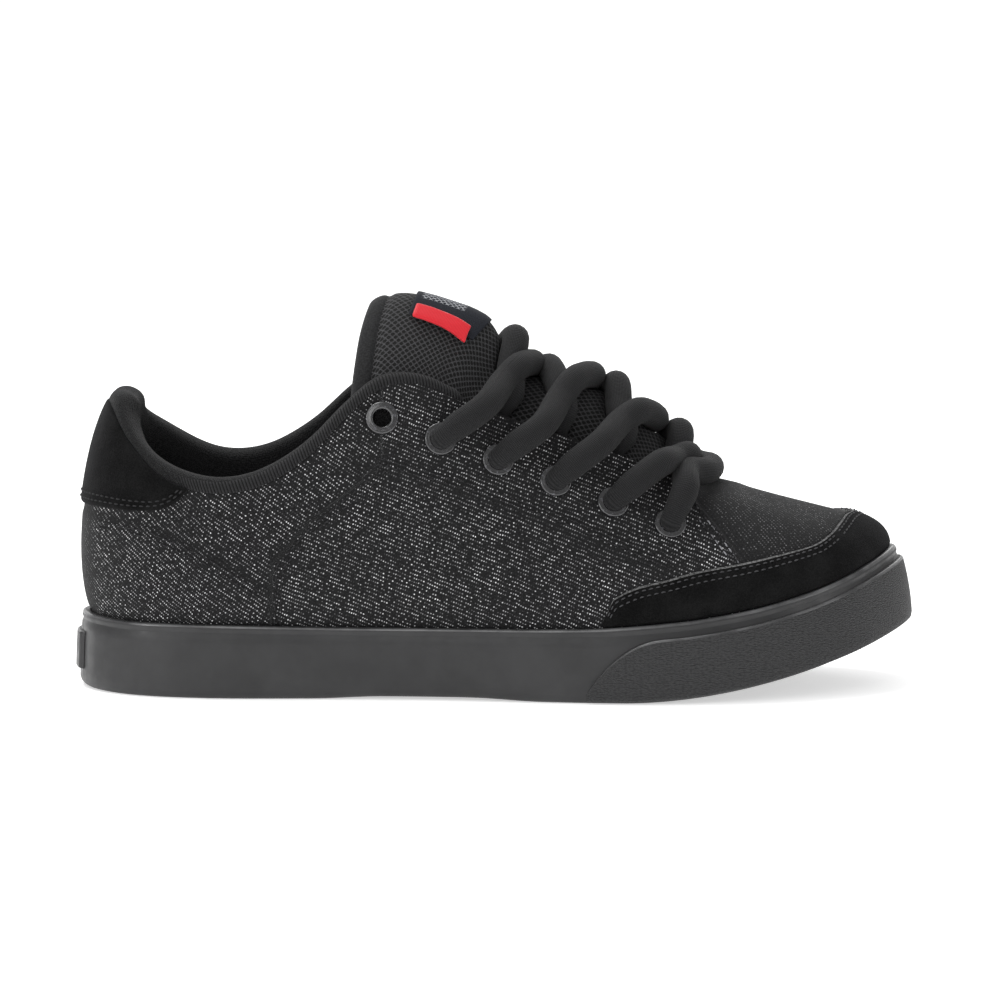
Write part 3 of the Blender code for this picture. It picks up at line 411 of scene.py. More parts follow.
def skin(turn, level, depth=0.0, above=0.0):
    """Point at a depth under the outer face, and above a level along the face."""
    low, high = max(level - 0.03, 0.0), min(level + 0.03, 1.0)
    point = base_skin(turn, level)
    up = (base_skin(turn, high) - base_skin(turn, low)).normalized()
    around = base_skin(turn + 0.12, level) - base_skin(turn - 0.12, level)
    return point - up.cross(around).normalized() * depth + up * above


# %% A fine table of that face, for the pieces that ask it often
def resample(grid, places, axis):
    """Catmull-Rom values of an array of points at real indices along one axis."""
    grid = np.moveaxis(grid, axis, 0)
    last = len(grid) - 1
    places = np.clip(places, 0, last)
    index = np.minimum(places.astype(int), last - 1)
    share = (places - index).reshape((-1,) + (1,) * (grid.ndim - 1))
    start, end = grid[index], grid[index + 1]
    before = np.where((index > 0).reshape(share.shape), grid[index - 1], 2 * start - end)
    after = np.where((index < last - 1).reshape(share.shape),
                     grid[np.minimum(index + 2, last)], 2 * end - start)
    slope_in, slope_out, rise = (end - before) / 2, (after - start) / 2, end - start
    made = (start + share * slope_in + share ** 2 * (3 * rise - 2 * slope_in - slope_out)
            + share ** 3 * (slope_in + slope_out - 2 * rise))
    return np.moveaxis(made, 0, axis)


def normals_of(grid):
    """Unit normals of a grid of points."""
    made = np.cross(np.gradient(grid, axis=1), np.gradient(grid, axis=0))
    return made / np.maximum(np.linalg.norm(made, axis=2, keepdims=True), 1e-12)


COARSE = 4
TURNS_PAST = 2
coarse_turns = np.arange(-COARSE * (TOE_TURN + TURNS_PAST), COARSE * (TOE_TURN + TURNS_PAST) + 1)
coarse = np.array([[base_skin(turn / COARSE, level / 20)[:] for level in range(21)]
                   for turn in coarse_turns])
FINE = 16
LEVELS = 80
fine_turns = np.arange(-FINE * (TOE_TURN + TURNS_PAST), FINE * (TOE_TURN + TURNS_PAST) + 1) / FINE
FACE = resample(coarse, (fine_turns + TOE_TURN + TURNS_PAST) * COARSE, 0)
FACE = resample(FACE, np.arange(LEVELS + 1) * 20 / LEVELS, 1)
OUTWARD = normals_of(FACE)
print("table of the upper's face:", FACE.shape)


def pick(table, turn, level):
    """Value of a fine table at arrays of turns and levels, between its own points."""
    turn, level = np.broadcast_arrays(np.asarray(turn, float), np.asarray(level, float))
    a = np.clip((turn + TOE_TURN + TURNS_PAST) * FINE, 0, len(table) - 1.001)
    b = np.clip(level * LEVELS, 0, LEVELS - 0.001)
    i, j = a.astype(int), b.astype(int)
    p, q = (a - i)[..., None], (b - j)[..., None]
    return ((table[i, j] * (1 - p) + table[i + 1, j] * p) * (1 - q)
            + (table[i, j + 1] * (1 - p) + table[i + 1, j + 1] * p) * q)


def face_at(turn, level, proud=0.0):
    """Points of the upper's outer face, moved outwards by proud."""
    normal = pick(OUTWARD, turn, level)
    normal /= np.linalg.norm(normal, axis=-1, keepdims=True)
    return pick(FACE, turn, level) + normal * np.asarray(proud)[..., None]


def level_of(turn, height):
    """Level at which the face reaches a height, for arrays of turns and heights."""
    levels = np.linspace(0, 1, LEVELS + 1)
    made = []
    for one, tall in zip(np.ravel(turn), np.ravel(height)):
        column = pick(FACE, np.full(LEVELS + 1, one), levels)[:, 2]
        made.append(np.interp(tall, np.maximum.accumulate(column), levels))
    return np.array(made)


HALVES = {-1: (fine_turns <= 0) & (fine_turns >= -TOE_TURN),
          1: (fine_turns >= 0) & (fine_turns <= TOE_TURN)}


def find(x, z, side):
    """Turn and level at which the face passes a point drawn on a side view, in metres."""
    mask = HALVES[side]
    places = FACE[mask]
    miss = (places[..., 0] - x) ** 2 + (places[..., 2] - z) ** 2
    i, j = np.unravel_index(np.argmin(miss), miss.shape)
    turn, level = fine_turns[mask][i], j / LEVELS
    for _ in range(2):
        here = pick(FACE, turn, level)
        along = (pick(FACE, turn + 0.05, level) - here) / 0.05
        step = 0.01 if level < 0.98 else -0.01
        up = (pick(FACE, turn, level + step) - here) / step
        frame_of = np.array([[along[0], up[0]], [along[2], up[2]]])
        if abs(np.linalg.det(frame_of)) < 1e-6:
            break
        move = np.linalg.solve(frame_of, [x - here[0], z - here[2]])
        turn, level = turn + np.clip(move[0], -0.1, 0.1), min(max(level + move[1], 0), 1)
    return float(turn), float(level)


def run_along(points, axis=0):
    """Distance covered at each point of a run of points, or of a grid along one axis."""
    steps = np.linalg.norm(np.diff(points, axis=axis), axis=-1)
    return np.insert(np.cumsum(steps, axis=axis), 0, 0, axis=axis)


def meridian(turn, points=21):
    """Length of the face from the lip to its top edge at one turn."""
    return float(run_along(pick(FACE, np.full(points, turn), np.linspace(0, 1, points)))[-1])


# %% [markdown]
# ## Helpers for the workbench
#
# A grid of points becomes a mesh in one way throughout, with a UV map whose numbers are real
# metres on the piece. A weave or a knit can then be scaled in millimetres wherever it lies.

# %% From points to a piece
def add_map(mesh, name, uvs):
    """A UV map from one pair of numbers for each point."""
    layer = mesh.uv_layers.new(name=name)
    corners = np.zeros(len(mesh.loops), np.int32)
    mesh.loops.foreach_get("vertex_index", corners)
    layer.data.foreach_set("uv", np.asarray(uvs, np.float32)[corners].ravel())


def add_piece(name, points, faces, finish, uvs=None, face_finish=None):
    """A mesh object at the origin with one or more materials."""
    mesh = bpy.data.meshes.new(name)
    mesh.from_pydata([tuple(point) for point in points], [], [tuple(face) for face in faces])
    for one in finish if isinstance(finish, (list, tuple)) else [finish]:
        mesh.materials.append(one)
    if uvs is not None:
        add_map(mesh, "cloth", uvs)
    if face_finish is not None:
        mesh.polygons.foreach_set("material_index", np.asarray(face_finish, np.int32))
    mesh.polygons.foreach_set("use_smooth", [True] * len(mesh.polygons))
    mesh.update()
    made = bpy.data.objects.new(name, mesh)
    bpy.context.scene.collection.objects.link(made)
    return made


def grid_faces(rows, columns, closed_rows=False, closed_columns=False, start=0):
    """Quads between the points of a grid that is stored row by row."""
    made = []
    for i in range(rows if closed_rows else rows - 1):
        for j in range(columns if closed_columns else columns - 1):
            a, b = (i + 1) % rows, (j + 1) % columns
            made.append((start + i * columns + j, start + i * columns + b,
                         start + a * columns + b, start + a * columns + j))
    return made


def end_caps(rows, columns):
    """Quads across the first and the last section of a flat tube, as two lists."""
    caps = []
    for row in (0, rows - 1):
        base = row * columns
        cap = [(base + step, base + step + 1, base + columns - 2 - step, base + columns - 1 - step)
               for step in range(columns // 2 - 1)]
        caps.append([tuple(reversed(face)) for face in cap] if row else cap)
    return caps


def select_only(made):
    bpy.ops.object.select_all(action="DESELECT")
    made.select_set(True)
    bpy.context.view_layer.objects.active = made


def apply_modifier(made, kind, **settings):
    """Add one modifier with its settings and apply it."""
    modifier = made.modifiers.new(kind.lower(), kind)
    for name, value in settings.items():
        setattr(modifier, name, value)
    select_only(made)
    bpy.ops.object.modifier_apply(modifier=modifier.name)


def outward_normals(made):
    select_only(made)
    bpy.ops.object.mode_set(mode="EDIT")
    bpy.ops.mesh.select_all(action="SELECT")
    bpy.ops.mesh.normals_make_consistent(inside=False)
    bpy.ops.object.mode_set(mode="OBJECT")


def finish_piece(made, slot, *nodes):
    """Ride on the shoe and stand for CAD nodes; slot is not used."""
    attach(made, "root")
    if nodes:
        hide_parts(*nodes)
    triangles = sum(len(face.vertices) - 2 for face in made.data.polygons)
    print(f"{made.name}: {triangles} triangles")


# %% [markdown]
# ## Denim with a pale weft
#
# Black denim is a twill: the warp is dyed and lies on top, and the pale weft shows between its
# ribs as rows of dots. A row comes every 1.3 mm and a dot every 0.84 mm. The dots differ in
# brightness, because the yarn is slubby and the dye wears off.

# %% Denim
ROW_MM, DOT_MM = 1.30, 0.84
# woven cotton: quite dull, with undyed weft dots that are brighter than
# anything else on the shoe and a black warp with a little fuzz
denim, mm = material("black_denim_pale_weft", 0.92, "cloth", Specular_IOR_Level=0.2,
                     Sheen_Weight=0.05, Sheen_Roughness=0.6)
drift = node("TexNoise", {"Vector": mm, "Scale": 0.25, "Detail": 3.0}).outputs["Color"]
drifted = node("VectorMath", {0: drift, 1: (1.1, 1.1, 0), 2: mm}, operation="MULTIPLY_ADD")
parts = node("SeparateXYZ", {0: drifted})
row = node("Math", (parts.outputs[1], 1 / ROW_MM), operation="MULTIPLY")
row_number = node("Math", (row,), operation="FLOOR")
# each row of dots starts a little further along than the one below it, which makes the twill
place = node("Math",
             (node("Math", (parts.outputs[0], 1 / DOT_MM), operation="MULTIPLY"),
              node("Math", (row_number, 0.37), operation="MULTIPLY")), operation="ADD")
place_number = node("Math", (place,), operation="FLOOR")
off_row = node("Math",
               (node("Math", (node("Math", (row,), operation="FRACT"), 0.5), operation="SUBTRACT"),
                ROW_MM / 0.24), operation="MULTIPLY")
off_place = node("Math",
                 (node("Math", (node("Math", (place,), operation="FRACT"), 0.5),
                       operation="SUBTRACT"), DOT_MM / 0.25), operation="MULTIPLY")
away = node("Math",
            (node("Math", (off_row, off_row), operation="MULTIPLY"),
             node("Math", (off_place, off_place), operation="MULTIPLY")), operation="ADD")
dot = node("MapRange", (away, 1.3, 0.2), interpolation_type="SMOOTHSTEP")
cell = node("CombineXYZ", {0: place_number, 1: row_number})
slub = node("Math", (node("TexWhiteNoise", {0: cell}), 2.1), operation="POWER")
streak = node("VectorMath", {0: cell, 1: (0.22, 0.9, 0)}, operation="MULTIPLY")
slub = node("Math",
            (slub,
             node("MapRange",
                  (node("TexNoise", {"Vector": streak, "Scale": 1.0}), 0.3, 0.7, 0.75, 1.2),
                  interpolation_type="SMOOTHSTEP")), operation="MULTIPLY")
worn = node("MapRange",
            (node("TexNoise", {"Vector": drifted, "Scale": 1 / 16, "Detail": 3}), 0.3, 0.72, 0.6,
             1.1), interpolation_type="SMOOTHSTEP")
# the second UV map holds the share of weft shown, with painted shade at the seams and the lace bar
weft_and_painted_shade = node("SeparateXYZ", {0: node("UVMap", uv_map="weft_and_painted_shade")})
fine = node("TexNoise", {"Vector": drifted, "Scale": 1 / 0.5, "Detail": 3})
weft = node("Math",
            (node("Math", (dot, slub), operation="MULTIPLY"),
             node("Math", (worn, weft_and_painted_shade), operation="MULTIPLY")), operation="MULTIPLY",
            use_clamp=True)
warp = node("Mix",
            {0: node("MapRange", (fine, 0.3, 0.7), interpolation_type="SMOOTHSTEP"),
             6: linear("#0A0A0B"), 7: linear("#202021")}, data_type="RGBA").outputs[2]
node("Mix", {0: weft, 6: warp, 7: linear("#F4F4F6")}, data_type="RGBA", into="Base Color", out=2)
ribs = node("Math", (node("Math", (dot, 0.6), operation="MULTIPLY"), fine), operation="ADD")
node("Bump", {"Height": ribs, "Distance": 0.14 * MM, "Strength": 0.6}, into="Normal")

# knitted polyester: matt and even, darker than the collar
lining, mm = material("black_polyester_lining", 0.85, Specular_IOR_Level=0.3)
tone = node("MapRange", (node("TexNoise", {"Vector": mm, "Scale": 1 / 0.8, "Detail": 3}), 0.3, 0.7),
            interpolation_type="SMOOTHSTEP")
node("Mix", {0: tone, 6: linear("#0F0F10"), 7: linear("#1D1D1E")}, data_type="RGBA",
     into="Base Color", out=2)
node("Bump",
     {"Height": node("TexNoise", {"Vector": mm, "Scale": 1 / 0.6}), "Distance": 0.1 * MM,
      "Strength": 0.5}, into="Normal")

# %% [markdown]
# ## The denim upper
#
# The real upper is cut from flat panels that overlap: a heel counter, a rear quarter, a side panel
# with the eyelets, and a vamp. Each edge is folded and stitched, so it makes a step of about half
# a millimetre with a shallow trough beside it. The fine table of the last's surface is moved in
# and out by these steps and by a few creases, then it gets an inner wall.

# %% Where the panels meet, drawn on a side view in millimetres
SIDE_SEAM = ((-78, 16), (-77, 40), (-76.5, 47), (-63.5, 61.5), (-50, 72), (-42, 79), (-39, 84))
COUNTER_SEAM = ((-152, 63), (-144, 62), (-119, 59), (-98, 50), (-79, 38))
STAY_SEAM = ((-41, 79.5), (-8.5, 70), (22, 59), (50, 47), (62, 42))
VAMP_SEAM = ((92, 34), (84, 49), (73, 63), (67, 71), (62, 78))


def line_x(line, z):
    """x of a line drawn on the side view at a height, for lines that climb."""
    rows = sorted((height, x) for x, height in line)
    return np.interp(z, [row[0] for row in rows], [row[1] for row in rows])


def line_z(line, x):
    return np.interp(x, [row[0] for row in line], [row[1] for row in line])


def line_distance(line, x, z):
    """Distance in mm from points on the side view to a line."""
    best = np.full(np.shape(x), 1e9)
    for (x0, z0), (x1, z1) in zip(line, line[1:]):
        length = (x1 - x0) ** 2 + (z1 - z0) ** 2
        share = np.clip(((x - x0) * (x1 - x0) + (z - z0) * (z1 - z0)) / length, 0, 1)
        best = np.minimum(best, np.hypot(x - x0 - share * (x1 - x0), z - z0 - share * (z1 - z0)))
    return best


def step_up(distance, width=1.0):
    """0 to 1 over a width in mm round a line."""
    share = np.clip(distance / width + 0.5, 0, 1)
    return share * share * (3 - 2 * share)


# %% Creases, each with its middle, direction, length, width and depth in mm and degrees
CREASES = (
    # x, z, turn, length, width, depth
    (74, 70, 62, 22, 5.0, 0.9), (82, 64, 58, 20, 5.0, -0.5), (66, 52, 70, 16, 6.0, 0.5),
    (-96, 34, 12, 30, 6.0, 0.35), (-60, 50, 40, 26, 7.0, 0.5), (-30, 52, 28, 34, 8.0, 0.35),
    (12, 46, 24, 30, 8.0, 0.35), (-108, 66, -20, 18, 6.0, 0.35))


def relief(points):
    """Outward move in metres of points of the denim: panel steps, troughs and creases."""
    x, z = points[..., 0] / MM, points[..., 2] / MM
    front = x - line_x(SIDE_SEAM, z)
    moved = 0.45 * step_up(front) - 0.35 * np.exp(-((front + 2.5) / 3.0) ** 2) * (z > 20)
    counter = line_z(COUNTER_SEAM, x) - z
    behind = x < line_x(SIDE_SEAM, z)
    moved += 0.40 * step_up(counter) * behind
    stay = z - line_z(STAY_SEAM, x)
    on_side = (x > -41) & (x < line_x(VAMP_SEAM, z))
    moved += 0.35 * step_up(stay) * on_side * np.clip((x + 41) / 6, 0, 1)
    vamp = x - line_x(VAMP_SEAM, z)
    moved -= 0.55 * step_up(vamp)
    for cx, cz, angle, length, width, depth in CREASES:
        c, s = math.cos(math.radians(angle)), math.sin(math.radians(angle))
        u, v = (x - cx) * c + (z - cz) * s, (z - cz) * c - (x - cx) * s
        moved -= depth * np.exp(-(u / length * 2) ** 2 - (v / width * 1.6) ** 2)
    return moved * MM


def cloth_uv(points):
    """Cloth coordinates in metres: each panel lies along its own direction of the weave."""
    x, y, z = points[..., 0], points[..., 1], points[..., 2]
    round_heel = np.arctan2(np.clip(-(x + 0.100), 0, None), np.abs(y) + 1e-6)
    along = np.where(x < -0.100, -0.100 - 0.045 * round_heel, x)
    rear = x / MM < line_x(SIDE_SEAM, z / MM)
    vamp = x / MM > line_x(VAMP_SEAM, z / MM)
    angle = np.radians(np.where(rear, -35, np.where(vamp, -48, -22)))
    across = np.where(vamp, np.abs(y) * -1.0 + z * 0.25, z)
    u = along * np.cos(angle) + across * np.sin(angle)
    v = -along * np.sin(angle) + across * np.cos(angle)
    return np.stack([u, v], axis=-1)


def weft_and_painted_shade_of(points):
    """Weft share shown: little on the vamp; painted shade along the seams and by the lace bar."""
    x, z = points[..., 0] / MM, points[..., 2] / MM
    shown = 1 - 0.78 * step_up(x - line_x(VAMP_SEAM, z) + 2, 4)
    # painted shade in the troughs along the seams
    for line in (SIDE_SEAM, COUNTER_SEAM, STAY_SEAM):
        shown = shown * (1 - 0.75 * np.exp(-(line_distance(line, x, z) / 1.5) ** 2))
    shown = shown * (1 - 0.6 * np.exp(-(line_distance(VAMP_SEAM, x, z) / 2.5) ** 2))
    # painted shade on the vamp beside the lace bar
    painted_shade_by_bar = np.exp(-((x - 76) / 9) ** 2 - ((z - 72) / 9) ** 2)
    back_tape = step_up(-x - 139.5, 1.5)
    return shown * (1 - 0.7 * painted_shade_by_bar) * (1 - 0.8 * back_tape)


# %% Loft the upper and give it a wall
# rows of points lie twice as close round the toe, past section 13 on both sides
TOE_FROM = 13
near = np.arange(-TOE_FROM * FINE, TOE_FROM * FINE + 1) / FINE
toe = np.arange(1, 2 * (TOE_TURN - TOE_FROM) * 2 * FINE) / (2 * FINE) + TOE_FROM
turns = np.concatenate([near, toe])
turns = np.sort(np.where(turns > TOE_TURN, turns - 2 * TOE_TURN, turns))
levels = np.linspace(0.0, 1.0, 73)
T, L = np.meshgrid(turns, levels, indexing="ij")
flat = face_at(T, L)
fade = np.clip(L / 0.04, 0, 1)
outer = face_at(T, L, relief(flat) * fade)
inner_levels = np.linspace(1.0, 0.0, 13)
TI, LI = np.meshgrid(turns, inner_levels, indexing="ij")
inner = face_at(TI, LI, np.full(TI.shape, -UPPER_WALL))
below = np.array([[base_skin(turn, -0.6)[:]] for turn in turns])
section = np.concatenate([below, outer, inner], axis=1)
rows, columns = section.shape[:2]
uv = np.concatenate([cloth_uv(part) for part in (below, flat, inner)], axis=1)
faces = grid_faces(rows, columns, closed_rows=True, closed_columns=True)
outer_columns = below.shape[1] + outer.shape[1]
inside = [1 if face[0] % columns >= outer_columns else 0 for face in faces]
upper = add_piece("denim_upper", section.reshape(-1, 3), faces, [denim, lining],
                  uv.reshape(-1, 2), inside)
shown = weft_and_painted_shade_of(section)
add_map(upper.data, "weft_and_painted_shade", np.stack([shown, shown], axis=2).reshape(-1, 2))
outward_normals(upper)


# %% [markdown]
# ### Holes for the eyelets
#
# A hand punch cuts six holes in each facing. The holes could be left out of the loft's grid, but
# its rows don't run round them. Twelve cylinders are joined and cut out in one Boolean instead,
# since one exact cut is quicker than twelve.

# %% Punch the eyelet holes
EYELETS = 6
FIRST_EYELET, LAST_EYELET = (0.3672, 0.886), (0.7065, 0.541)


def eyelet_place(pair, side):
    """Turn and level of an eyelet on the straight line of its row."""
    share = pair / (EYELETS - 1)
    along = FIRST_EYELET[0] + (LAST_EYELET[0] - FIRST_EYELET[0]) * share
    height = FIRST_EYELET[1] + (LAST_EYELET[1] - FIRST_EYELET[1]) * share
    return find((along - 0.5) * SOLE_LENGTH, height * INSTEP_HEIGHT, side)


def eyelet_frame(pair, side):
    """Frame of an eyelet whose Z points out of the facing."""
    turn, level = eyelet_place(pair, side)
    point, normal = Vector(pick(FACE, turn, level)), Vector(pick(OUTWARD, turn, level))
    normal.normalize()
    lift = float(relief(np.array(point)))
    up = Vector(pick(FACE, turn, level + 0.02) - pick(FACE, turn, level - 0.02)).normalized()
    across = up.cross(normal).normalized()
    made = Matrix((across, normal.cross(across), normal)).transposed().to_4x4()
    made.translation = point + normal * lift
    return made


eyelet_frames = {(pair, side): eyelet_frame(pair, side)
                 for side in (-1, 1) for pair in range(EYELETS)}
PUNCH_RADIUS, PUNCH_REACH = 0.0037, 0.014
punches = []
for place in eyelet_frames.values():
    bpy.ops.mesh.primitive_cylinder_add(vertices=28, radius=PUNCH_RADIUS, depth=PUNCH_REACH)
    punch = bpy.context.object
    punch.data.transform(place)
    punches.append(punch)
bpy.ops.object.select_all(action="DESELECT")
for punch in punches:
    punch.select_set(True)
bpy.context.view_layer.objects.active = punches[0]
bpy.ops.object.join()
punch = bpy.context.object
apply_modifier(upper, "BOOLEAN", operation="DIFFERENCE", object=punch, solver="EXACT")
bpy.data.objects.remove(punch)
finish_piece(upper, "denim_black_fleck", "upper")

# %% [markdown]
# ## Suede
#
# Suede is the split side of a hide, brushed so that its fibres stand up. It scatters light and
# looks deep black head-on and a little paler at a grazing angle. The band round the toe and the
# patch on the heel are cut from one hide 1.4 mm thick and their edges are raw and slightly round.

# %% Suede, and the strip that a pattern cutter would lay on the last
# split hide, brushed: no gloss, near black head-on and paler at a grazing
# angle, with clouds about a centimetre wide where the nap lies another way
suede, mm = material("black_brushed_suede", 1.0, Specular_IOR_Level=0.1, Sheen_Weight=0.12,
                     Sheen_Roughness=0.5)
shader.inputs["Sheen Tint"].default_value = linear("#8C8C90")
nap = node("TexNoise", {"Vector": mm, "Scale": 1 / 0.45, "Detail": 4, "Roughness": 0.6})
brushed = node("TexNoise", {"Vector": mm, "Scale": 1 / 9, "Detail": 3})
tone = node("Math",
            (node("Math", (nap, 0.65), operation="MULTIPLY"),
             node("Math", (brushed, 0.35), operation="MULTIPLY")), operation="ADD")
node("Mix",
     {0: node("MapRange", (tone, 0.36, 0.68), interpolation_type="SMOOTHSTEP"),
      6: linear("#050505"), 7: linear("#1A1A1A")}, data_type="RGBA", into="Base Color", out=2)
node("Bump", {"Height": nap, "Distance": 0.28 * MM, "Strength": 0.8}, into="Normal")

# the cut edge of the hide: frayed fibres that the dye didn't reach, so grey
raw_edge, mm = material("raw_suede_edge", 1.0, Specular_IOR_Level=0.1)
frayed = node("TexNoise", {"Vector": mm, "Scale": 1 / 0.8, "Detail": 4, "Roughness": 0.7})
node("Mix",
     {0: node("MapRange", (frayed, 0.35, 0.65), interpolation_type="SMOOTHSTEP"),
      6: linear("#2A2A2A"), 7: linear("#7C7C7C")}, data_type="RGBA", into="Base Color", out=2)
node("Bump", {"Height": frayed, "Distance": 0.3 * MM, "Strength": 0.8}, into="Normal")

TOE_BAND = (
    (11.50, 0.262), (11.70, 0.322), (12.10, 0.356), (12.60, 0.376), (13.10, 0.400),
    (13.60, 0.420), (14.10, 0.443), (14.60, 0.468), (15.00, 0.500), (15.35, 0.526),
    (15.65, 0.541), (16.00, 0.545))
HEEL_PATCH = (
    (0.00, 0.645), (1.00, 0.645), (2.00, 0.640), (2.60, 0.645), (3.05, 0.668), (3.50, 0.712))
OVERLAY = 0.0015


def lay_cover(name, turns, low, high, raw):
    """Suede between two levels at each turn, standing proud of the denim with round edges."""
    edge = ((0.0, -0.0004), (0.0, 0.0008), (0.0004, 0.00125), (0.0011, 0.0015))
    T = turns[:, None]
    length = np.array([meridian(turn) for turn in turns])
    columns, prouds = [], []
    for inset, rise in edge:
        columns.append(np.minimum(low + inset / length, (low + high) / 2))
        prouds.append(rise)
    for share in np.linspace(0.06, 0.94, 22):
        columns.append(low + (high - low) * share)
        prouds.append(OVERLAY)
    for inset, rise in reversed(edge):
        columns.append(np.maximum(high - inset / length, (low + high) / 2))
        prouds.append(rise)
    L = np.sort(np.stack(columns, axis=1), axis=1)
    P = np.broadcast_to(np.array(prouds), L.shape)
    points = face_at(np.broadcast_to(T, L.shape), L, P)
    rows, count = points.shape[:2]
    faces = grid_faces(rows, count)
    cut = [1 if face[0] % count in raw else 0 for face in faces]
    made = add_piece(name, points.reshape(-1, 3), faces, [suede, raw_edge], None, cut)
    outward = pick(OUTWARD, turns[rows // 2], L[rows // 2, count // 2])
    if made.data.polygons[(rows // 2) * (count - 1) + count // 2].normal.dot(outward) < 0:
        made.data.flip_normals()
    return made


band_turns = np.arange(11.5, 2 * TOE_TURN - 11.5 + 0.001, 1 / 32)
band_sections = np.minimum(band_turns, 2 * TOE_TURN - band_turns)
band_height = np.array([lookup(TOE_BAND, 1, section) for section in band_sections])
# the medial side of the band is cut higher beside the toe
band_height += 0.022 * np.exp(-((band_sections - 14.7) / 0.75) ** 2) * (band_turns < TOE_TURN)
band_height *= INSTEP_HEIGHT
band_low = np.full(len(band_turns), 0.0)
# the table of the face is kept two turns past the toe, so the far half is asked from the other end
band_turns = np.where(band_turns > TOE_TURN + 1, band_turns - 2 * TOE_TURN, band_turns)
band_high = np.clip(level_of(band_turns, band_height), 0.012, 0.985)
toe_suede = lay_cover("toe_suede", band_turns, band_low, band_high, (26, 27, 28))
finish_piece(toe_suede, "suede_black", "toe_band")


# %% [markdown]
# ### Loose fibres
#
# A cut edge of suede bristles. Hair particles could do it, but they aren't part of a mesh that is
# exported. So each fibre is a needle on three corners, a few hundred of them along the edge.

# %% Brush up the cut edge
def brush_up(name, seams, count, longest):
    """Loose fibres along an edge, each a thin needle on three corners."""
    points, faces = [], []
    for edge, normals, ahead in seams:
        for _ in range(count):
            at = random.random() * (len(edge) - 1.001)
            index, share = int(at), at % 1
            root = edge[index] * (1 - share) + edge[index + 1] * share
            lean_to = (normals[index] * random.uniform(0.2, 1.0) + ahead[index]
                       * random.uniform(0.0, 1.0) + np.array([random.gauss(0, 0.5)
                                                              for _ in range(3)]))
            lean_to /= np.linalg.norm(lean_to)
            flat = np.cross(lean_to, (0.3, 0.5, 0.8))
            flat /= np.linalg.norm(flat)
            other = np.cross(lean_to, flat)
            start = len(points)
            for angle in (0, 2.1, 4.2):
                points.append(root + 0.00007 * (math.cos(angle) * flat + math.sin(angle) * other))
            points.append(root + lean_to * longest * random.uniform(0.3, 1.0) ** 1.5)
            faces += [(start, start + 2, start + 1), (start, start + 1, start + 3),
                      (start + 1, start + 2, start + 3), (start + 2, start, start + 3)]
    made = add_piece(name, points, faces, suede)
    finish_piece(made, "suede_black")


edge_points = face_at(band_turns, band_high, np.full(len(band_turns), 0.0010))
edge_normals = pick(OUTWARD, band_turns, band_high)
edge_ahead = edge_points - face_at(band_turns, band_high - 0.02)
edge_ahead /= np.linalg.norm(edge_ahead, axis=1, keepdims=True)
middle = slice(len(band_turns) // 2 - 60, len(band_turns) // 2 + 90)
brush_up("toe_suede_fibres", [(edge_points, edge_normals, edge_ahead)], 500, 0.0008)
brush_up("toe_suede_tufts", [(edge_points[middle], edge_normals[middle], edge_ahead[middle])],
         300, 0.0016)

patch_turns = np.arange(-3.5, 3.501, 1 / 24)
patch_height = np.array([lookup(HEEL_PATCH, 1, abs(turn)) for turn in patch_turns]) * HEEL_HEIGHT
patch_low = np.clip(level_of(patch_turns, patch_height), 0, 0.985)
patch_high = np.full(len(patch_turns), 0.995)
heel_suede = lay_cover("heel_suede", patch_turns, patch_low, patch_high, ())
finish_piece(heel_suede, "suede_black", "heel_patch")

# %% [markdown]
# ## Stitches
#
# A sewing machine on shoe uppers makes about four stitches in a centimetre. One stitch is a short
# thread that dives into the leather at both ends. It is modelled once from a cylinder and then
# copied along each seam, all copies of a seam in one mesh.

# %% One stitch
# twisted polyester, waxed for the machine: a slight shine, paler where rubbed
thread, mm = material("waxed_polyester_thread", 0.6, Specular_IOR_Level=0.4)
node("Mix",
     {0: node("TexNoise", {"Vector": mm, "Scale": 1 / 2.5}), 6: linear("#18181A"),
      7: linear("#48484A")}, data_type="RGBA", into="Base Color", out=2)
node("Bump", {"Height": node("TexNoise", {"Vector": mm, "Scale": 1 / 0.3}), "Distance": 0.05 * MM},
     into="Normal")

bpy.ops.mesh.primitive_cylinder_add(vertices=6, radius=1.0, depth=1.0, rotation=(0, math.pi / 2, 0))
stitch = bpy.context.object
bpy.ops.object.transform_apply(location=True, rotation=True, scale=True)
bpy.ops.object.mode_set(mode="EDIT")
bpy.ops.mesh.select_mode(type="EDGE")
bpy.ops.mesh.select_all(action="DESELECT")
bm = bmesh.from_edit_mesh(stitch.data)
for edge in bm.edges:
    edge.select = abs(edge.verts[0].co.x - edge.verts[1].co.x) > 0.5
bmesh.update_edit_mesh(stitch.data)
bpy.ops.mesh.subdivide(number_cuts=3)
bpy.ops.object.mode_set(mode="OBJECT")
STITCH = np.array([corner.co[:] for corner in stitch.data.vertices])
STITCH_FACES = [tuple(face.vertices) for face in stitch.data.polygons]
bpy.data.objects.remove(stitch)
print("faces of one stitch:", len(STITCH_FACES))


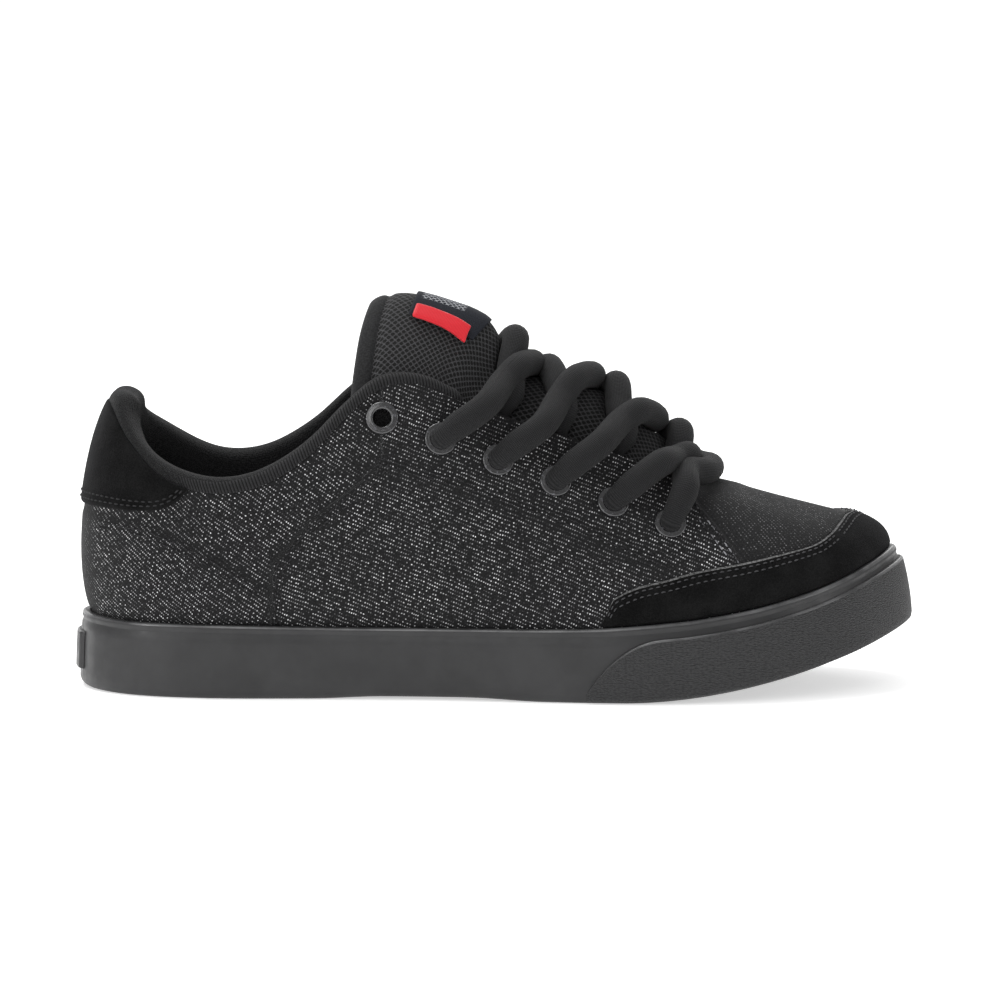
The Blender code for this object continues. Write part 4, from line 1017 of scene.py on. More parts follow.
def sew(name, finish, slot, seams, pitch=0.0026, length=0.0019, radius=0.00028, sunk=0.3):
    """Copies of the stitch along seams, each a list of points and outward normals."""
    places, faces = [], []
    for points, normals in seams:
        points, normals = np.asarray(points), np.asarray(normals)
        run = run_along(points)
        for middle in np.arange(pitch / 2, run[-1] - pitch / 2, pitch):
            here = np.array([np.interp(middle, run, points[:, axis]) for axis in range(3)])
            ahead = np.array([np.interp(middle + length / 2, run, points[:, axis])
                              for axis in range(3)])
            normal = np.array([np.interp(middle, run, normals[:, axis]) for axis in range(3)])
            along = ahead - here
            along /= np.linalg.norm(along)
            normal -= along * normal.dot(along)
            normal /= np.linalg.norm(normal)
            across = np.cross(normal, along)
            bow = 1 - (2 * STITCH[:, 0]) ** 2
            height = STITCH[:, 2] * (0.55 + 0.45 * bow) + 1.6 * bow - 1.0 - sunk
            body = (here + np.outer(STITCH[:, 0] * length, along)
                    + np.outer(STITCH[:, 1] * radius * (0.55 + 0.45 * bow), across)
                    + np.outer(height * radius, normal))
            start = len(places) * len(STITCH)
            faces += [tuple(start + corner for corner in face) for face in STITCH_FACES]
            places.append(body)
    made = add_piece(name, np.concatenate(places), faces, finish)
    finish_piece(made, slot)
    return made


def along_cover(turns, low, high, down, proud):
    """Seam on a cover, down in metres below its upper edge."""
    length = np.array([meridian(turn) for turn in turns])
    level = high - down / length
    keep = level > low + 0.02
    return face_at(turns[keep], level[keep], np.full(keep.sum(), proud)), \
        pick(OUTWARD, turns[keep], level[keep])


def drawn_seam(line, side, offset=0.0, proud=0.0003, count=60):
    """Seam drawn on the side view in mm, laid on the denim, moved by offset across the line."""
    line = np.array(line, float)
    run = run_along(line)
    at = np.linspace(0, run[-1], count)
    x, z = np.interp(at, run, line[:, 0]), np.interp(at, run, line[:, 1])
    dx, dz = np.gradient(x), np.gradient(z)
    size = np.hypot(dx, dz)
    x, z = x - dz / size * offset, z + dx / size * offset
    points, normals = [], []
    for one, other in zip(x, z):
        turn, level = find(one * MM, other * MM, side)
        here, normal = pick(FACE, turn, level), pick(OUTWARD, turn, level)
        if here[0] < -0.138 or np.hypot(here[0] - one * MM, here[2] - other * MM) > 0.0015:
            continue
        points.append(here + normal * (float(relief(here)) + proud))
        normals.append(normal)
    return points, normals


# %% Sew the suede
# the same thread dyed black, seen by its relief rather than its colour
black_thread, mm = material("black_polyester_thread", 0.7, Specular_IOR_Level=0.35)
node("Mix",
     {0: node("TexNoise", {"Vector": mm, "Scale": 1 / 2.5}), 6: linear("#101011"),
      7: linear("#2A2A2C")}, data_type="RGBA", into="Base Color", out=2)
TOE_SEAM_DOWN = (0.0023, 0.0048)
# the list of turns jumps to its other end just past the toe, so each row is sewn in two runs
jump = len(band_turns) // 2 + 33
toe_seams = [along_cover(band_turns[half], band_low[half], band_high[half], down, OVERLAY + 0.0001)
             for half in (slice(None, jump), slice(jump, None)) for down in TOE_SEAM_DOWN]
sew("toe_stitches", thread, "suede_black", toe_seams)

PATCH_MERIDIAN, PATCH_SEAM_UP = 0.085, (0.0020, 0.0040)
patch_seams = []
for up in PATCH_SEAM_UP:
    level = patch_low + up / PATCH_MERIDIAN
    keep = level < 0.975
    patch_seams.append((face_at(patch_turns[keep], level[keep],
                                np.full(keep.sum(), OVERLAY + 0.0001)),
                        pick(OUTWARD, patch_turns[keep], level[keep])))
sew("heel_stitches", black_thread, "suede_black", patch_seams)

# %% [markdown]
# ### Seams of the panels
#
# The panels are sewn with two rows of black thread, and the vamp and the facings with undyed
# cotton. The lines are the ones that shaped the steps above, drawn on the side view and laid on
# the denim, so that a seam can't leave its edge.

# %% Sew the denim panels
# cotton thread stained by the denim: dull, pale in some stitches and dark in others
pale_thread, mm = material("undyed_cotton_thread", 0.8, Specular_IOR_Level=0.3)
node("Mix",
     {0: node("MapRange",
              (node("TexNoise", {"Vector": mm, "Scale": 1 / 5, "Detail": 3}), 0.42, 0.62),
              interpolation_type="SMOOTHSTEP"), 6: linear("#1A1A1B"), 7: linear("#8E8E92")},
     data_type="RGBA", into="Base Color", out=2)
panel_seams = []
for side in (-1, 1):
    for line in (SIDE_SEAM, COUNTER_SEAM, STAY_SEAM):
        sign = -1 if line in (SIDE_SEAM, COUNTER_SEAM) else 1
        panel_seams += [drawn_seam(line, side, sign * offset) for offset in (1.6, 3.6)]
sew("panel_stitches", black_thread, "denim_black_fleck", panel_seams)
facing_seams = []
for side in (-1, 1):
    at = side * np.linspace(9.0, 13.4, 90)
    level = 1 - 0.0020 / np.array([meridian(turn) for turn in at])
    facing_seams.append((face_at(at, level, np.full(90, 0.0006)), pick(OUTWARD, at, level)))
sew("facing_stitches", pale_thread, "denim_black_fleck", facing_seams, 0.0034, 0.0028, 0.00020)
vamp_seams = [drawn_seam(VAMP_SEAM, side, offset) for side in (-1, 1) for offset in (1.4, 3.4)]
sew("vamp_stitches", pale_thread, "denim_black_fleck", vamp_seams)

# %% [markdown]
# ## The padded collar
#
# The collar is a tube of soft foam under a knitted lining. It rolls over the top edge of the
# quarters and runs down the inside as a cushion, fullest at the ankle and thin at the facings.
# A ribbed knit tape binds its outer edge. The section is laid out at each turn and subdivided.

# %% Knit
# weft-knit jersey, brushed: soft loops under fuzz, and ribs on the edge tape
# every 1.15 mm. The real loops are finer; they are drawn as coarse as they need to show
knit, mm = material("brushed_knit_jersey", 0.95, "cloth", Specular_IOR_Level=0.2, Sheen_Weight=0.06,
                    Sheen_Roughness=0.6)
parts = node("SeparateXYZ", {0: mm})
rib = node("Math", (node("Math", (parts.outputs[0], 2 * math.pi / 1.15), operation="MULTIPLY"),),
           operation="SINE")
tape = node("Math",
            (node("MapRange", (parts.outputs[1], 6.0, 4.6), interpolation_type="SMOOTHSTEP"),
             node("MapRange", (node("Math", (parts.outputs[0],), operation="ABSOLUTE"), 48, 60),
                  interpolation_type="SMOOTHSTEP")), operation="MULTIPLY")
loops = node("TexVoronoi",
             {"Vector": node("VectorMath", {0: mm, 1: (1.3, 1.0, 1)}, operation="MULTIPLY"),
              "Scale": 1.15, "Randomness": 0.55}, voronoi_dimensions="2D")
fuzz = node("TexNoise", {"Vector": mm, "Scale": 1 / 1.5, "Detail": 5, "Roughness": 0.75})
plain = node("Math", (node("Math", (loops.outputs["Distance"], -0.8), operation="MULTIPLY"), fuzz),
             operation="ADD")
ribbed = node("Math", (node("Math", (rib, 0.6), operation="MULTIPLY"), fuzz), operation="ADD")
height = node("Mix", {0: tape, 2: plain, 3: ribbed}, data_type="FLOAT")
tone = node("MapRange", (height, 0.0, 0.62), interpolation_type="SMOOTHSTEP")
node("Mix", {0: tone, 6: linear("#050506"), 7: linear("#2A2A2B")}, data_type="RGBA",
     into="Base Color", out=2)
node("Bump", {"Height": height, "Distance": 0.45 * MM, "Strength": 0.9}, into="Normal")

# %% [markdown]
# ### The shape of the padding
#
# A cloth simulation could inflate the tube, but it would swell into the thin facings. The section
# is laid out from how full the cushion is at each place instead, and the subdivision
# surface gives it the soft roll.

# %% Lay out the collar
COLLAR_PADDING, COLLAR_ROLL, COLLAR_DEPTH, COLLAR_END = 0.0075, 0.0046, 0.0340, 10.0
COLLAR_FULLNESS = (1.05, 1.12, 1.25, 1.32, 1.28, 1.18, 1.00, 0.70, 0.42, 0.34, 0.30)
COLLAR_RISE = (1.18, 1.24, 1.70, 1.85, 1.45, 1.25, 1.10, 1.00, 0.96, 0.92, 0.90)


def collar_section(turn):
    """Closed section of the collar: over the edge, down the inside and back under."""
    wall = UPPER_WALL + 2.0 * GAP
    thick = COLLAR_PADDING * smooth(COLLAR_FULLNESS, abs(turn), True)
    rise = COLLAR_ROLL * smooth(COLLAR_RISE, abs(turn), True)
    roll = wall + 0.5 * thick + 0.0012
    loop = [skin(turn, 1, -0.0009, -0.0014), skin(turn, 1, -0.0014, 0.30 * rise),
            skin(turn, 1, -0.0002, 0.85 * rise), skin(turn, 1, 0.5 * roll + 0.0006, 1.08 * rise),
            skin(turn, 1, roll + 0.0010, 0.86 * rise), skin(turn, 1, wall + 0.86 * thick, 0.2 * rise)]
    length = meridian(turn, 17)
    reach = min(COLLAR_DEPTH, 0.62 * length)
    for share, fullness in ((0.22, 1.04), (0.50, 1.06), (0.80, 0.72), (1.0, 0.14)):
        loop.append(skin(turn, 1 - share * reach / length, wall + fullness * thick))
    for share in (1.0, 0.60):
        loop.append(skin(turn, 1 - share * reach / length, wall - 0.0004))
    loop.append(skin(turn, 1, wall - 0.0004, -0.002))
    loop.append(skin(turn, 1, 0.0012, 0.0006))
    return loop


collar_turns = np.arange(-COLLAR_END, COLLAR_END + 0.01, 0.25)
section = np.array([[point[:] for point in collar_section(turn)] for turn in collar_turns])
rows, columns = section.shape[:2]
girth = run_along(section[:, 2])
girth -= girth[rows // 2]
around = run_along(section, axis=1)
uv = np.stack([np.broadcast_to(girth[:, None], around.shape), around], axis=2)
faces = grid_faces(rows, columns, closed_columns=True)
faces.append(tuple(range(columns)))
faces.append(tuple(reversed(range((rows - 1) * columns, rows * columns))))
collar = add_piece("padded_collar", section.reshape(-1, 3), faces, knit, uv.reshape(-1, 2))
outward_normals(collar)
apply_modifier(collar, "SUBSURF", levels=2, render_levels=2)
finish_piece(collar, "knit_collar", "collar_padding")

# %% [markdown]
# ## The tongue
#
# The tongue is a bag of foam faced with spacer mesh, whose open knit makes rows of small
# diamonds. Its top edge is bound with a smooth rolled strip. The foam swells between the seams,
# and the laces press into it.

# %% Spacer mesh
DIAMOND_MM = 2.35
# warp-knit mesh over foam: grey strands round black holes, which read as a grid
spacer, mm = material("diamond_spacer_mesh", 0.8, "cloth", Specular_IOR_Level=0.3,
                      Sheen_Weight=0.04, Sheen_Roughness=0.5)
parts = node("SeparateXYZ", {0: mm})
across = node("Math", (parts.outputs[1], 1 / DIAMOND_MM), operation="MULTIPLY")
along = node("Math", (parts.outputs[0], 1 / (DIAMOND_MM * 1.15)), operation="MULTIPLY")
one = node("Math",
           (node("Math",
                 (node("Math", (node("Math", (along, across), operation="ADD"), math.pi),
                       operation="MULTIPLY"),), operation="SINE"),), operation="ABSOLUTE")
other = node("Math",
             (node("Math",
                   (node("Math", (node("Math", (along, across), operation="SUBTRACT"), math.pi),
                         operation="MULTIPLY"),), operation="SINE"),), operation="ABSOLUTE")
hole = node("Math", (one, other), operation="MULTIPLY")
strand = node("MapRange", (hole, 0.5, 0.18), interpolation_type="SMOOTHSTEP")
yarn = node("TexNoise", {"Vector": mm, "Scale": 1 / 0.45, "Detail": 3})
tone = node("Mix",
            {0: node("MapRange", (yarn, 0.3, 0.7), interpolation_type="SMOOTHSTEP"),
             6: linear("#2B2B2C"), 7: linear("#4B4B4D")}, data_type="RGBA").outputs[2]
node("Mix", {0: strand, 6: linear("#080808"), 7: tone}, data_type="RGBA", into="Base Color", out=2)
node("Bump",
     {"Height": node("Math", (strand, node("Math", (yarn, 0.3), operation="MULTIPLY")),
                     operation="ADD"), "Distance": 0.5 * MM}, into="Normal")

# plain jersey rolled round the foam: matt, with a grain too fine to see as loops
rolled, mm = material("rolled_jersey_binding", 0.9, Specular_IOR_Level=0.25, Sheen_Weight=0.05,
                      Sheen_Roughness=0.5)
grain = node("TexNoise", {"Vector": mm, "Scale": 1 / 0.6, "Detail": 3})
node("Mix",
     {0: node("MapRange", (grain, 0.3, 0.7), interpolation_type="SMOOTHSTEP"), 6: linear("#171718"),
      7: linear("#29292A")}, data_type="RGBA", into="Base Color", out=2)
node("Bump", {"Height": grain, "Distance": 0.12 * MM, "Strength": 0.6}, into="Normal")

# %% [markdown]
# ### The shape of the tongue
#
# The tongue arches between the facings: high at the ridge, and tucked under the facings at both
# sides. It is one surface through a table of ridge points, with a wing on each side. A plane that
# is bent by hand would do, but it couldn't follow the facings as closely.

# %% Lay out the tongue: section between the facings, place, height and thickness as shares
TONGUE_RIDGE = (
    (6.90, 0.343, 0.970, 0.75), (7.50, 0.369, 1.002, 1.00), (8.30, 0.405, 1.006, 1.00),
    (9.10, 0.453, 0.976, 0.95), (9.45, 0.478, 0.956, 0.93), (9.80, 0.498, 0.926, 0.92),
    (10.05, 0.512, 0.868, 0.90), (10.40, 0.534, 0.808, 0.86), (10.85, 0.566, 0.794, 0.84),
    (11.50, 0.610, 0.772, 0.80), (12.20, 0.658, 0.716, 0.74), (12.90, 0.698, 0.644, 0.66),
    (13.50, 0.729, 0.562, 0.58))
RIDGE = [list(values) for values in zip(*TONGUE_RIDGE)]
LAST_ROW = len(TONGUE_RIDGE) - 1
TAIL_SECTION, TAIL_REACH, TAIL_CLEARANCE, LACE_ROOM = 13.8, 0.20, 0.0028, 0.0030


def tongue_station(row, across):
    """Point of the tongue's outer face; across runs from -1 lateral to 1 medial."""
    side, reach = (-1 if across < 0 else 1), abs(across)
    if row > LAST_ROW:
        section = TAIL_SECTION + (TOE_TURN - TAIL_SECTION) * (1 - reach)
        tail = max(row - LAST_ROW - 1, 0) / 2
        under = skin(side * section, 1 - TAIL_REACH * tail, UPPER_WALL + TAIL_CLEARANCE)
        return tongue_station(LAST_ROW, across).lerp(under, min(row - LAST_ROW, 1))
    section = smooth(RIDGE[0], row)
    room = LACE_ROOM
    if section < COLLAR_END + 0.3:
        room = max(COLLAR_PADDING * smooth(COLLAR_FULLNESS, section, True) + 0.0010, LACE_ROOM)
    fade = min(1.0, (TAIL_SECTION - section) / 0.8)
    depth = (UPPER_WALL + GAP + room) * fade + (UPPER_WALL + TAIL_CLEARANCE) * (1 - fade)
    x = (smooth(RIDGE[1], row) - 0.5) * SOLE_LENGTH
    crest = Vector((x, swing(x), TONGUE_HEIGHT * smooth(RIDGE[2], row)))
    facing = skin(side * section, 1, depth)
    wing = skin(side * section, 1 - 0.016 / meridian(side * section, 17), depth)
    middle = crest.lerp(facing, 0.52)
    middle += (crest - Vector((crest.x, crest.y, facing.z))) * 0.235
    knots = [crest, middle, facing, wing]
    return Vector([smooth([knot[axis] for knot in knots], reach * 3, axis != 1)
                   for axis in range(3)])


ROW_STEP, ACROSS_STEPS = 0.5, 10
tongue_rows = np.arange(0, LAST_ROW + 3.01, ROW_STEP)
TONGUE = np.array([[tongue_station(row, place / ACROSS_STEPS)[:]
                    for place in range(-ACROSS_STEPS, ACROSS_STEPS + 1)] for row in tongue_rows])
TONGUE_OUT = normals_of(TONGUE)
if TONGUE_OUT[4, ACROSS_STEPS, 2] < 0:
    TONGUE_OUT = -TONGUE_OUT


def on_tongue(row, across, proud=0.0):
    """Points of the tongue's outer face at arrays of rows and places across."""
    row, across, proud = np.broadcast_arrays(*(np.asarray(value, float)
                                               for value in (row, across, proud)))
    a = np.clip(row / ROW_STEP, 0, len(TONGUE) - 1.001)
    b = np.clip((across + 1) * ACROSS_STEPS, 0, 2 * ACROSS_STEPS - 0.001)
    i, j = a.astype(int), b.astype(int)
    p, q = (a - i)[..., None], (b - j)[..., None]
    made = []
    for table in (TONGUE, TONGUE_OUT):
        made.append((table[i, j] * (1 - p) + table[i + 1, j] * p) * (1 - q)
                    + (table[i, j + 1] * (1 - p) + table[i + 1, j + 1] * p) * q)
    normal = made[1] / np.linalg.norm(made[1], axis=-1, keepdims=True)
    return made[0] + normal * proud[..., None]


# %% Fill the tongue with foam
BINDING_ROW = 1.15
rows_at = np.array([0.0, 0.12, 0.35, 0.7, 1.0, 1.1, 1.2, 1.35, 1.6]
                   + list(np.arange(2.0, LAST_ROW + 3.01, 0.5)))
across_at = np.linspace(-1, 1, 33)
share = np.interp(rows_at, [0, 0.12, 0.35, 1.0, 2.0], [0.30, 0.62, 0.90, 1.0, 1.0])
thick = np.array([TONGUE_THICKNESS * smooth(RIDGE[3], min(row, LAST_ROW)) for row in rows_at])
seam_dip = -0.0011 * np.exp(-((rows_at - BINDING_ROW) / 0.10) ** 2)
swell = 0.0010 * np.exp(-((rows_at - 0.55) / 0.4) ** 2)
R, A = np.meshgrid(rows_at, across_at, indexing="ij")
trim = (thick * (1 - share) / 2)[:, None]
front = on_tongue(R, A, -trim + (seam_dip + swell)[:, None] * np.ones_like(A))
depth = trim + (thick * share)[:, None] * (1 - 0.62 * np.abs(A) ** 4)
rear = on_tongue(R, A, -depth)
section = np.concatenate([front, rear[:, ::-1]], axis=1)
rows, columns = section.shape[:2]
u_of_row = np.interp(rows_at, tongue_rows, run_along(TONGUE[:, ACROSS_STEPS]))
width = run_along(front, axis=1)
width -= width[:, 16:17]
uv_front = np.stack([np.broadcast_to(u_of_row[:, None], width.shape), width], axis=2)
uv = np.concatenate([uv_front, uv_front[:, ::-1]], axis=1)
faces = grid_faces(rows, columns, closed_columns=True)
rolled_faces = [1 if rows_at[face[0] // columns] < BINDING_ROW - 0.1 else 0 for face in faces]
upper_cap, lower_cap = end_caps(rows, columns)
rolled_faces += [1] * len(upper_cap) + [0] * len(lower_cap)
faces += upper_cap + lower_cap
tongue = add_piece("mesh_tongue", section.reshape(-1, 3), faces, [spacer, rolled],
                   uv.reshape(-1, 2), rolled_faces)
outward_normals(tongue)
apply_modifier(tongue, "SUBSURF", levels=2, render_levels=2)
finish_piece(tongue, "mesh_tongue", "tongue")

# %% [markdown]
# ## Label and tab on the tongue
#
# A damask label is sewn along the tongue's ridge, with a plain red ribbon folded along its outer
# edge. The label's motif here is a common lattice in pale thread.

# %% Woven label and ribbon
# polyester damask: crisp pale thread on navy, with a low sheen
label_cloth, mm = material("damask_woven_label", 0.8, "cloth", Specular_IOR_Level=0.3)
parts = node("SeparateXYZ", {0: mm})
bend = node("Math", (node("TexNoise", {"Vector": mm, "Scale": 1 / 3.0}), 1.6), operation="MULTIPLY")
first = node("Math",
             (node("Math",
                   (node("Math",
                         (node("Math", (parts.outputs[0], parts.outputs[1]), operation="ADD"), 1.5),
                         operation="MULTIPLY"), bend), operation="ADD"),), operation="SINE")
second = node("Math",
              (node("Math",
                    (node("Math",
                          (node("Math", (parts.outputs[0], parts.outputs[1]), operation="SUBTRACT"),
                           1.5), operation="MULTIPLY"), bend), operation="ADD"),), operation="SINE")
lattice = node("Math",
               (node("Math", (first, first), operation="MULTIPLY"),
                node("Math", (second, second), operation="MULTIPLY")), operation="MAXIMUM")
lattice = node("MapRange", (lattice, 0.8, 0.93), interpolation_type="SMOOTHSTEP")
field = node("Math",
             (node("MapRange",
                   (node("Math", (node("Math", (parts.outputs[0], 10.5), operation="SUBTRACT"),),
                         operation="ABSOLUTE"), 8.5, 7.5), interpolation_type="SMOOTHSTEP"),
              node("MapRange", (node("Math", (parts.outputs[1],), operation="ABSOLUTE"), 6.2, 5.4),
                   interpolation_type="SMOOTHSTEP")), operation="MULTIPLY")
weave = node("TexNoise", {"Vector": mm, "Scale": 1 / 0.35})
motif = node("Math",
             (node("Math", (lattice, field), operation="MULTIPLY"),
              node("MapRange", (weave, 0.25, 0.6), interpolation_type="SMOOTHSTEP")),
             operation="MULTIPLY")
navy = node("Mix",
            {0: node("MapRange", (weave, 0.35, 0.65), interpolation_type="SMOOTHSTEP"),
             6: linear("#0C0E15"), 7: linear("#20232C")}, data_type="RGBA").outputs[2]
node("Mix", {0: motif, 6: navy, 7: linear("#B9BBC0")}, data_type="RGBA", into="Base Color", out=2)
node("Bump",
     {"Height": node("Math", (weave, motif), operation="ADD"), "Distance": 0.15 * MM,
      "Strength": 0.8}, into="Normal")

# satin: long floats of bright red thread, 0.5 mm apart, with a soft gloss
ribbon, mm = material("red_satin_ribbon", 0.55, "cloth", Specular_IOR_Level=0.4, Sheen_Weight=0.2,
                      Sheen_Roughness=0.4)
threads = node("SeparateXYZ", {0: mm})
twill = node("Math", (node("Math", (threads, 2 * math.pi / 0.5), operation="MULTIPLY"),),
             operation="SINE")
node("Mix",
     {0: node("MapRange", (twill, -1.4, 1.4), interpolation_type="SMOOTHSTEP"),
      6: linear("#C80E1C"), 7: linear("#DC1E2E")}, data_type="RGBA", into="Base Color", out=2)
node("Bump", {"Height": twill, "Distance": 0.03 * MM, "Strength": 0.6}, into="Normal")


def lay_strip(name, finish, first, last, left, right, low, thickness, steps=(28, 10)):
    """A thin woven strip on the tongue between two rows and two places across."""
    share = np.linspace(0, 1, steps[0])[:, None]
    across = np.linspace(0, 1, steps[1])
    R = first + (last[0] + (last[1] - last[0]) * across - first) * share
    A = ((left[0] + (left[1] - left[0]) * share) * (1 - across)
         + (right[0] + (right[1] - right[0]) * share) * across)
    top, bottom = on_tongue(R, A, low + thickness), on_tongue(R, A, low)
    section = np.concatenate([top, bottom[:, ::-1]], axis=1)
    rows, columns = section.shape[:2]
    u, v = run_along(top[:, steps[1] // 2]), run_along(top[steps[0] // 2])
    v -= v[-1] / 2
    flat_uv = np.stack(np.meshgrid(u, v, indexing="ij"), axis=2)
    uv = np.concatenate([flat_uv, flat_uv[:, ::-1]], axis=1)
    faces = grid_faces(rows, columns, closed_columns=True) + sum(end_caps(rows, columns), [])
    made = add_piece(name, section.reshape(-1, 3), faces, finish, uv.reshape(-1, 2))
    outward_normals(made)
    apply_modifier(made, "SUBSURF", levels=1, render_levels=1)
    return made


label = lay_strip("tongue_label_cloth", label_cloth, 2.05, (4.85, 4.85), (-0.30, -0.31),
                  (0.30, 0.30), 0.0003, 0.0010)
finish_piece(label, "woven_label", "tongue_label")
tab = lay_strip("red_ribbon", ribbon, 2.16, (4.50, 4.34), (-0.320, -0.368), (-0.218, -0.244), 0.0016,
                0.0013, (24, 8))
finish_piece(tab, "woven_tab_red", "tongue_tab")

# %% [markdown]
# ## Eyelets
#
# An eyelet is pressed from sheet brass and enamelled black. Its flange lies on the facing and its
# barrel goes through. One is modelled from a circle that is extruded ring by ring, as it would be
# turned on a lathe, and the other eleven are copies.

# %% Enamel
# enamel on pressed brass: a glossy coat, with small grey patches of painted highlight
enamel, mm = material("black_enamelled_brass", 0.24, Specular_IOR_Level=0.7, Coat_Weight=0.8,
                      Coat_Roughness=0.1)
# the grey patches are painted highlights on the flange
painted_highlight_patches = node("MapRange",
            (node("TexNoise", {"Vector": mm, "Scale": 1 / 1.1, "Detail": 4, "Roughness": 0.7}),
             0.53, 0.66), interpolation_type="SMOOTHSTEP")
node("Mix", {0: painted_highlight_patches, 6: linear("#161618"), 7: linear("#4A4A4F")}, data_type="RGBA",
     into="Base Color", out=2)
node("Bump",
     {"Height": node("TexNoise", {"Vector": mm, "Scale": 1 / 0.7, "Detail": 3}),
      "Distance": 0.08 * MM, "Strength": 0.7}, into="Normal")

# %% Turn one eyelet and set twelve
RING = (
    # radius and height in mm, from the barrel's foot over the flange to its outer edge
    (3.5, -2.6), (3.15, -2.6), (3.05, 0.6), (3.15, 1.25), (3.45, 1.55), (3.9, 1.60), (4.5, 1.45),
    (4.9, 1.38), (5.2, 1.42), (5.5, 1.25), (5.65, 0.9), (5.6, 0.35), (3.65, 0.3))
bpy.ops.mesh.primitive_circle_add(vertices=40, radius=RING[0][0] * MM,
                                  location=(0, 0, RING[0][1] * MM))
eyelet = bpy.context.object
bpy.ops.object.transform_apply(location=True)
bpy.ops.object.mode_set(mode="EDIT")
bpy.ops.mesh.select_all(action="SELECT")
for (radius, height), (wide, tall) in zip(RING, RING[1:] + RING[:1]):
    bpy.ops.mesh.extrude_edges_move(TRANSFORM_OT_translate={"value": (0, 0, (tall - height) * MM)})
    bpy.ops.transform.resize(value=(wide / radius, wide / radius, 1),
                             center_override=(0, 0, tall * MM))
bpy.ops.mesh.select_all(action="SELECT")
bpy.ops.mesh.remove_doubles(threshold=0.00002)
bpy.ops.mesh.normals_make_consistent(inside=False)
bpy.ops.object.mode_set(mode="OBJECT")
bpy.ops.object.shade_smooth()
eyelet.data.materials.append(enamel)
for (pair, side), place in eyelet_frames.items():
    copy = eyelet.copy()
    copy.data = eyelet.data.copy()
    bpy.context.scene.collection.objects.link(copy)
    copy.data.transform(place)
    row = "lateral" if side < 0 else "medial"
    copy.name = f"eyelet_ring_{row}_{pair + 1}"
    finish_piece(copy, "enamelled_eyelet", f"eyelet_{row}_{pair + 1}")
bpy.data.objects.remove(eyelet)

# %% [markdown]
# ## The lace
#
# The lace is one fat round cord of braided polyester, drawn through the eyelets. It starts and
# ends inside the top pair, so no free end shows. It comes out of each hole, lies on the facing,
# crosses the tongue over or under its partner and dives below the opposite facing. It narrows
# where an eyelet squeezes it.

# %% Braid
# polyester braid, brushed: plaits 1.15 mm long that the fuzz half hides, no gloss
braid, mm = material("braided_polyester_lace", 0.85, "cloth", Specular_IOR_Level=0.2,
                     Sheen_Weight=0.05, Sheen_Roughness=0.5)
parts = node("SeparateXYZ", {0: mm})
PLAIT_MM = 1.15
lengthwise = node("Math", (parts.outputs[0], 2 * math.pi / PLAIT_MM), operation="MULTIPLY")
sideways = node("Math", (parts.outputs[1], 2 * math.pi / PLAIT_MM), operation="MULTIPLY")
first = node("Math", (node("Math", (lengthwise, sideways), operation="ADD"),), operation="SINE")
second = node("Math", (node("Math", (lengthwise, sideways), operation="SUBTRACT"),),
              operation="SINE")
plait = node("Math", (first, second), operation="MULTIPLY")
hair = node("TexNoise", {"Vector": mm, "Scale": 1 / 0.5, "Detail": 3})
tone = node("MapRange", (node("Math", (plait, hair), operation="ADD"), -0.6, 1.5),
            interpolation_type="SMOOTHSTEP")
node("Mix", {0: tone, 6: linear("#0B0B0C"), 7: linear("#2B2B2C")}, data_type="RGBA",
     into="Base Color", out=2)
node("Bump",
     {"Height": node("Math", (node("Math", (plait, 0.5), operation="MULTIPLY"), hair),
                     operation="ADD"), "Distance": 0.22 * MM, "Strength": 0.8}, into="Normal")

# %% [markdown]
# ### The way of the lace
#
# A curve with a bevel could draw the lace, but its braid would have no coordinates. The run is
# written down as points instead: through each eyelet, over the tongue and under the facing. The
# cord is then swept along them, with a UV map in real metres.

# %% Run the lace
# for each crossing, where the upper and the lower lace pass the ridge and how high in mm
LACE_CRESTS = (((0.5420, -1.8), (0.5110, -0.2)), ((0.6130, -1.4), (0.5640, -2.2)),
               ((0.6870, -2.0), (0.6390, -0.4)), ((0.7310, -3.4), (0.7080, 1.0)))
LACE_LEAVES, LACE_ENTERS, FACING_REACH = 0.0145, 0.0020, 0.667
# place across the tongue, then how far the upper and the lower lace of a crossing lie off it, in mm
ARCH = ((0.46, 2.2, -1.0), (0.27, 2.4, -1.4), (0.0, 0.0, 0.0),
        (-0.26, -2.4, -2.0), (-0.48, -0.8, -1.0))


def eyelet_x(pair):
    share = pair / (EYELETS - 1)
    return (FIRST_EYELET[0] + (LAST_EYELET[0] - FIRST_EYELET[0]) * share - 0.5) * SOLE_LENGTH


def tongue_row(x, across):
    """Row of the tongue at which it passes x, at a place across."""
    rows = np.linspace(0, LAST_ROW + 1, 120)
    passes = np.maximum.accumulate(on_tongue(rows, np.full(120, across))[:, 0])
    return float(np.interp(x, passes, rows))


def through(pair, side, inwards):
    """Points and thickness of the lace where it goes through an eyelet's barrel."""
    place = eyelet_frames[pair, side]
    made = [(place @ Vector((0, 0, -0.0052)), 0.62), (place @ Vector((0, 0, -0.0012)), 0.62),
            (place @ Vector((0, 0, 0.0019)), 0.80)]
    return made[::-1] if inwards else made


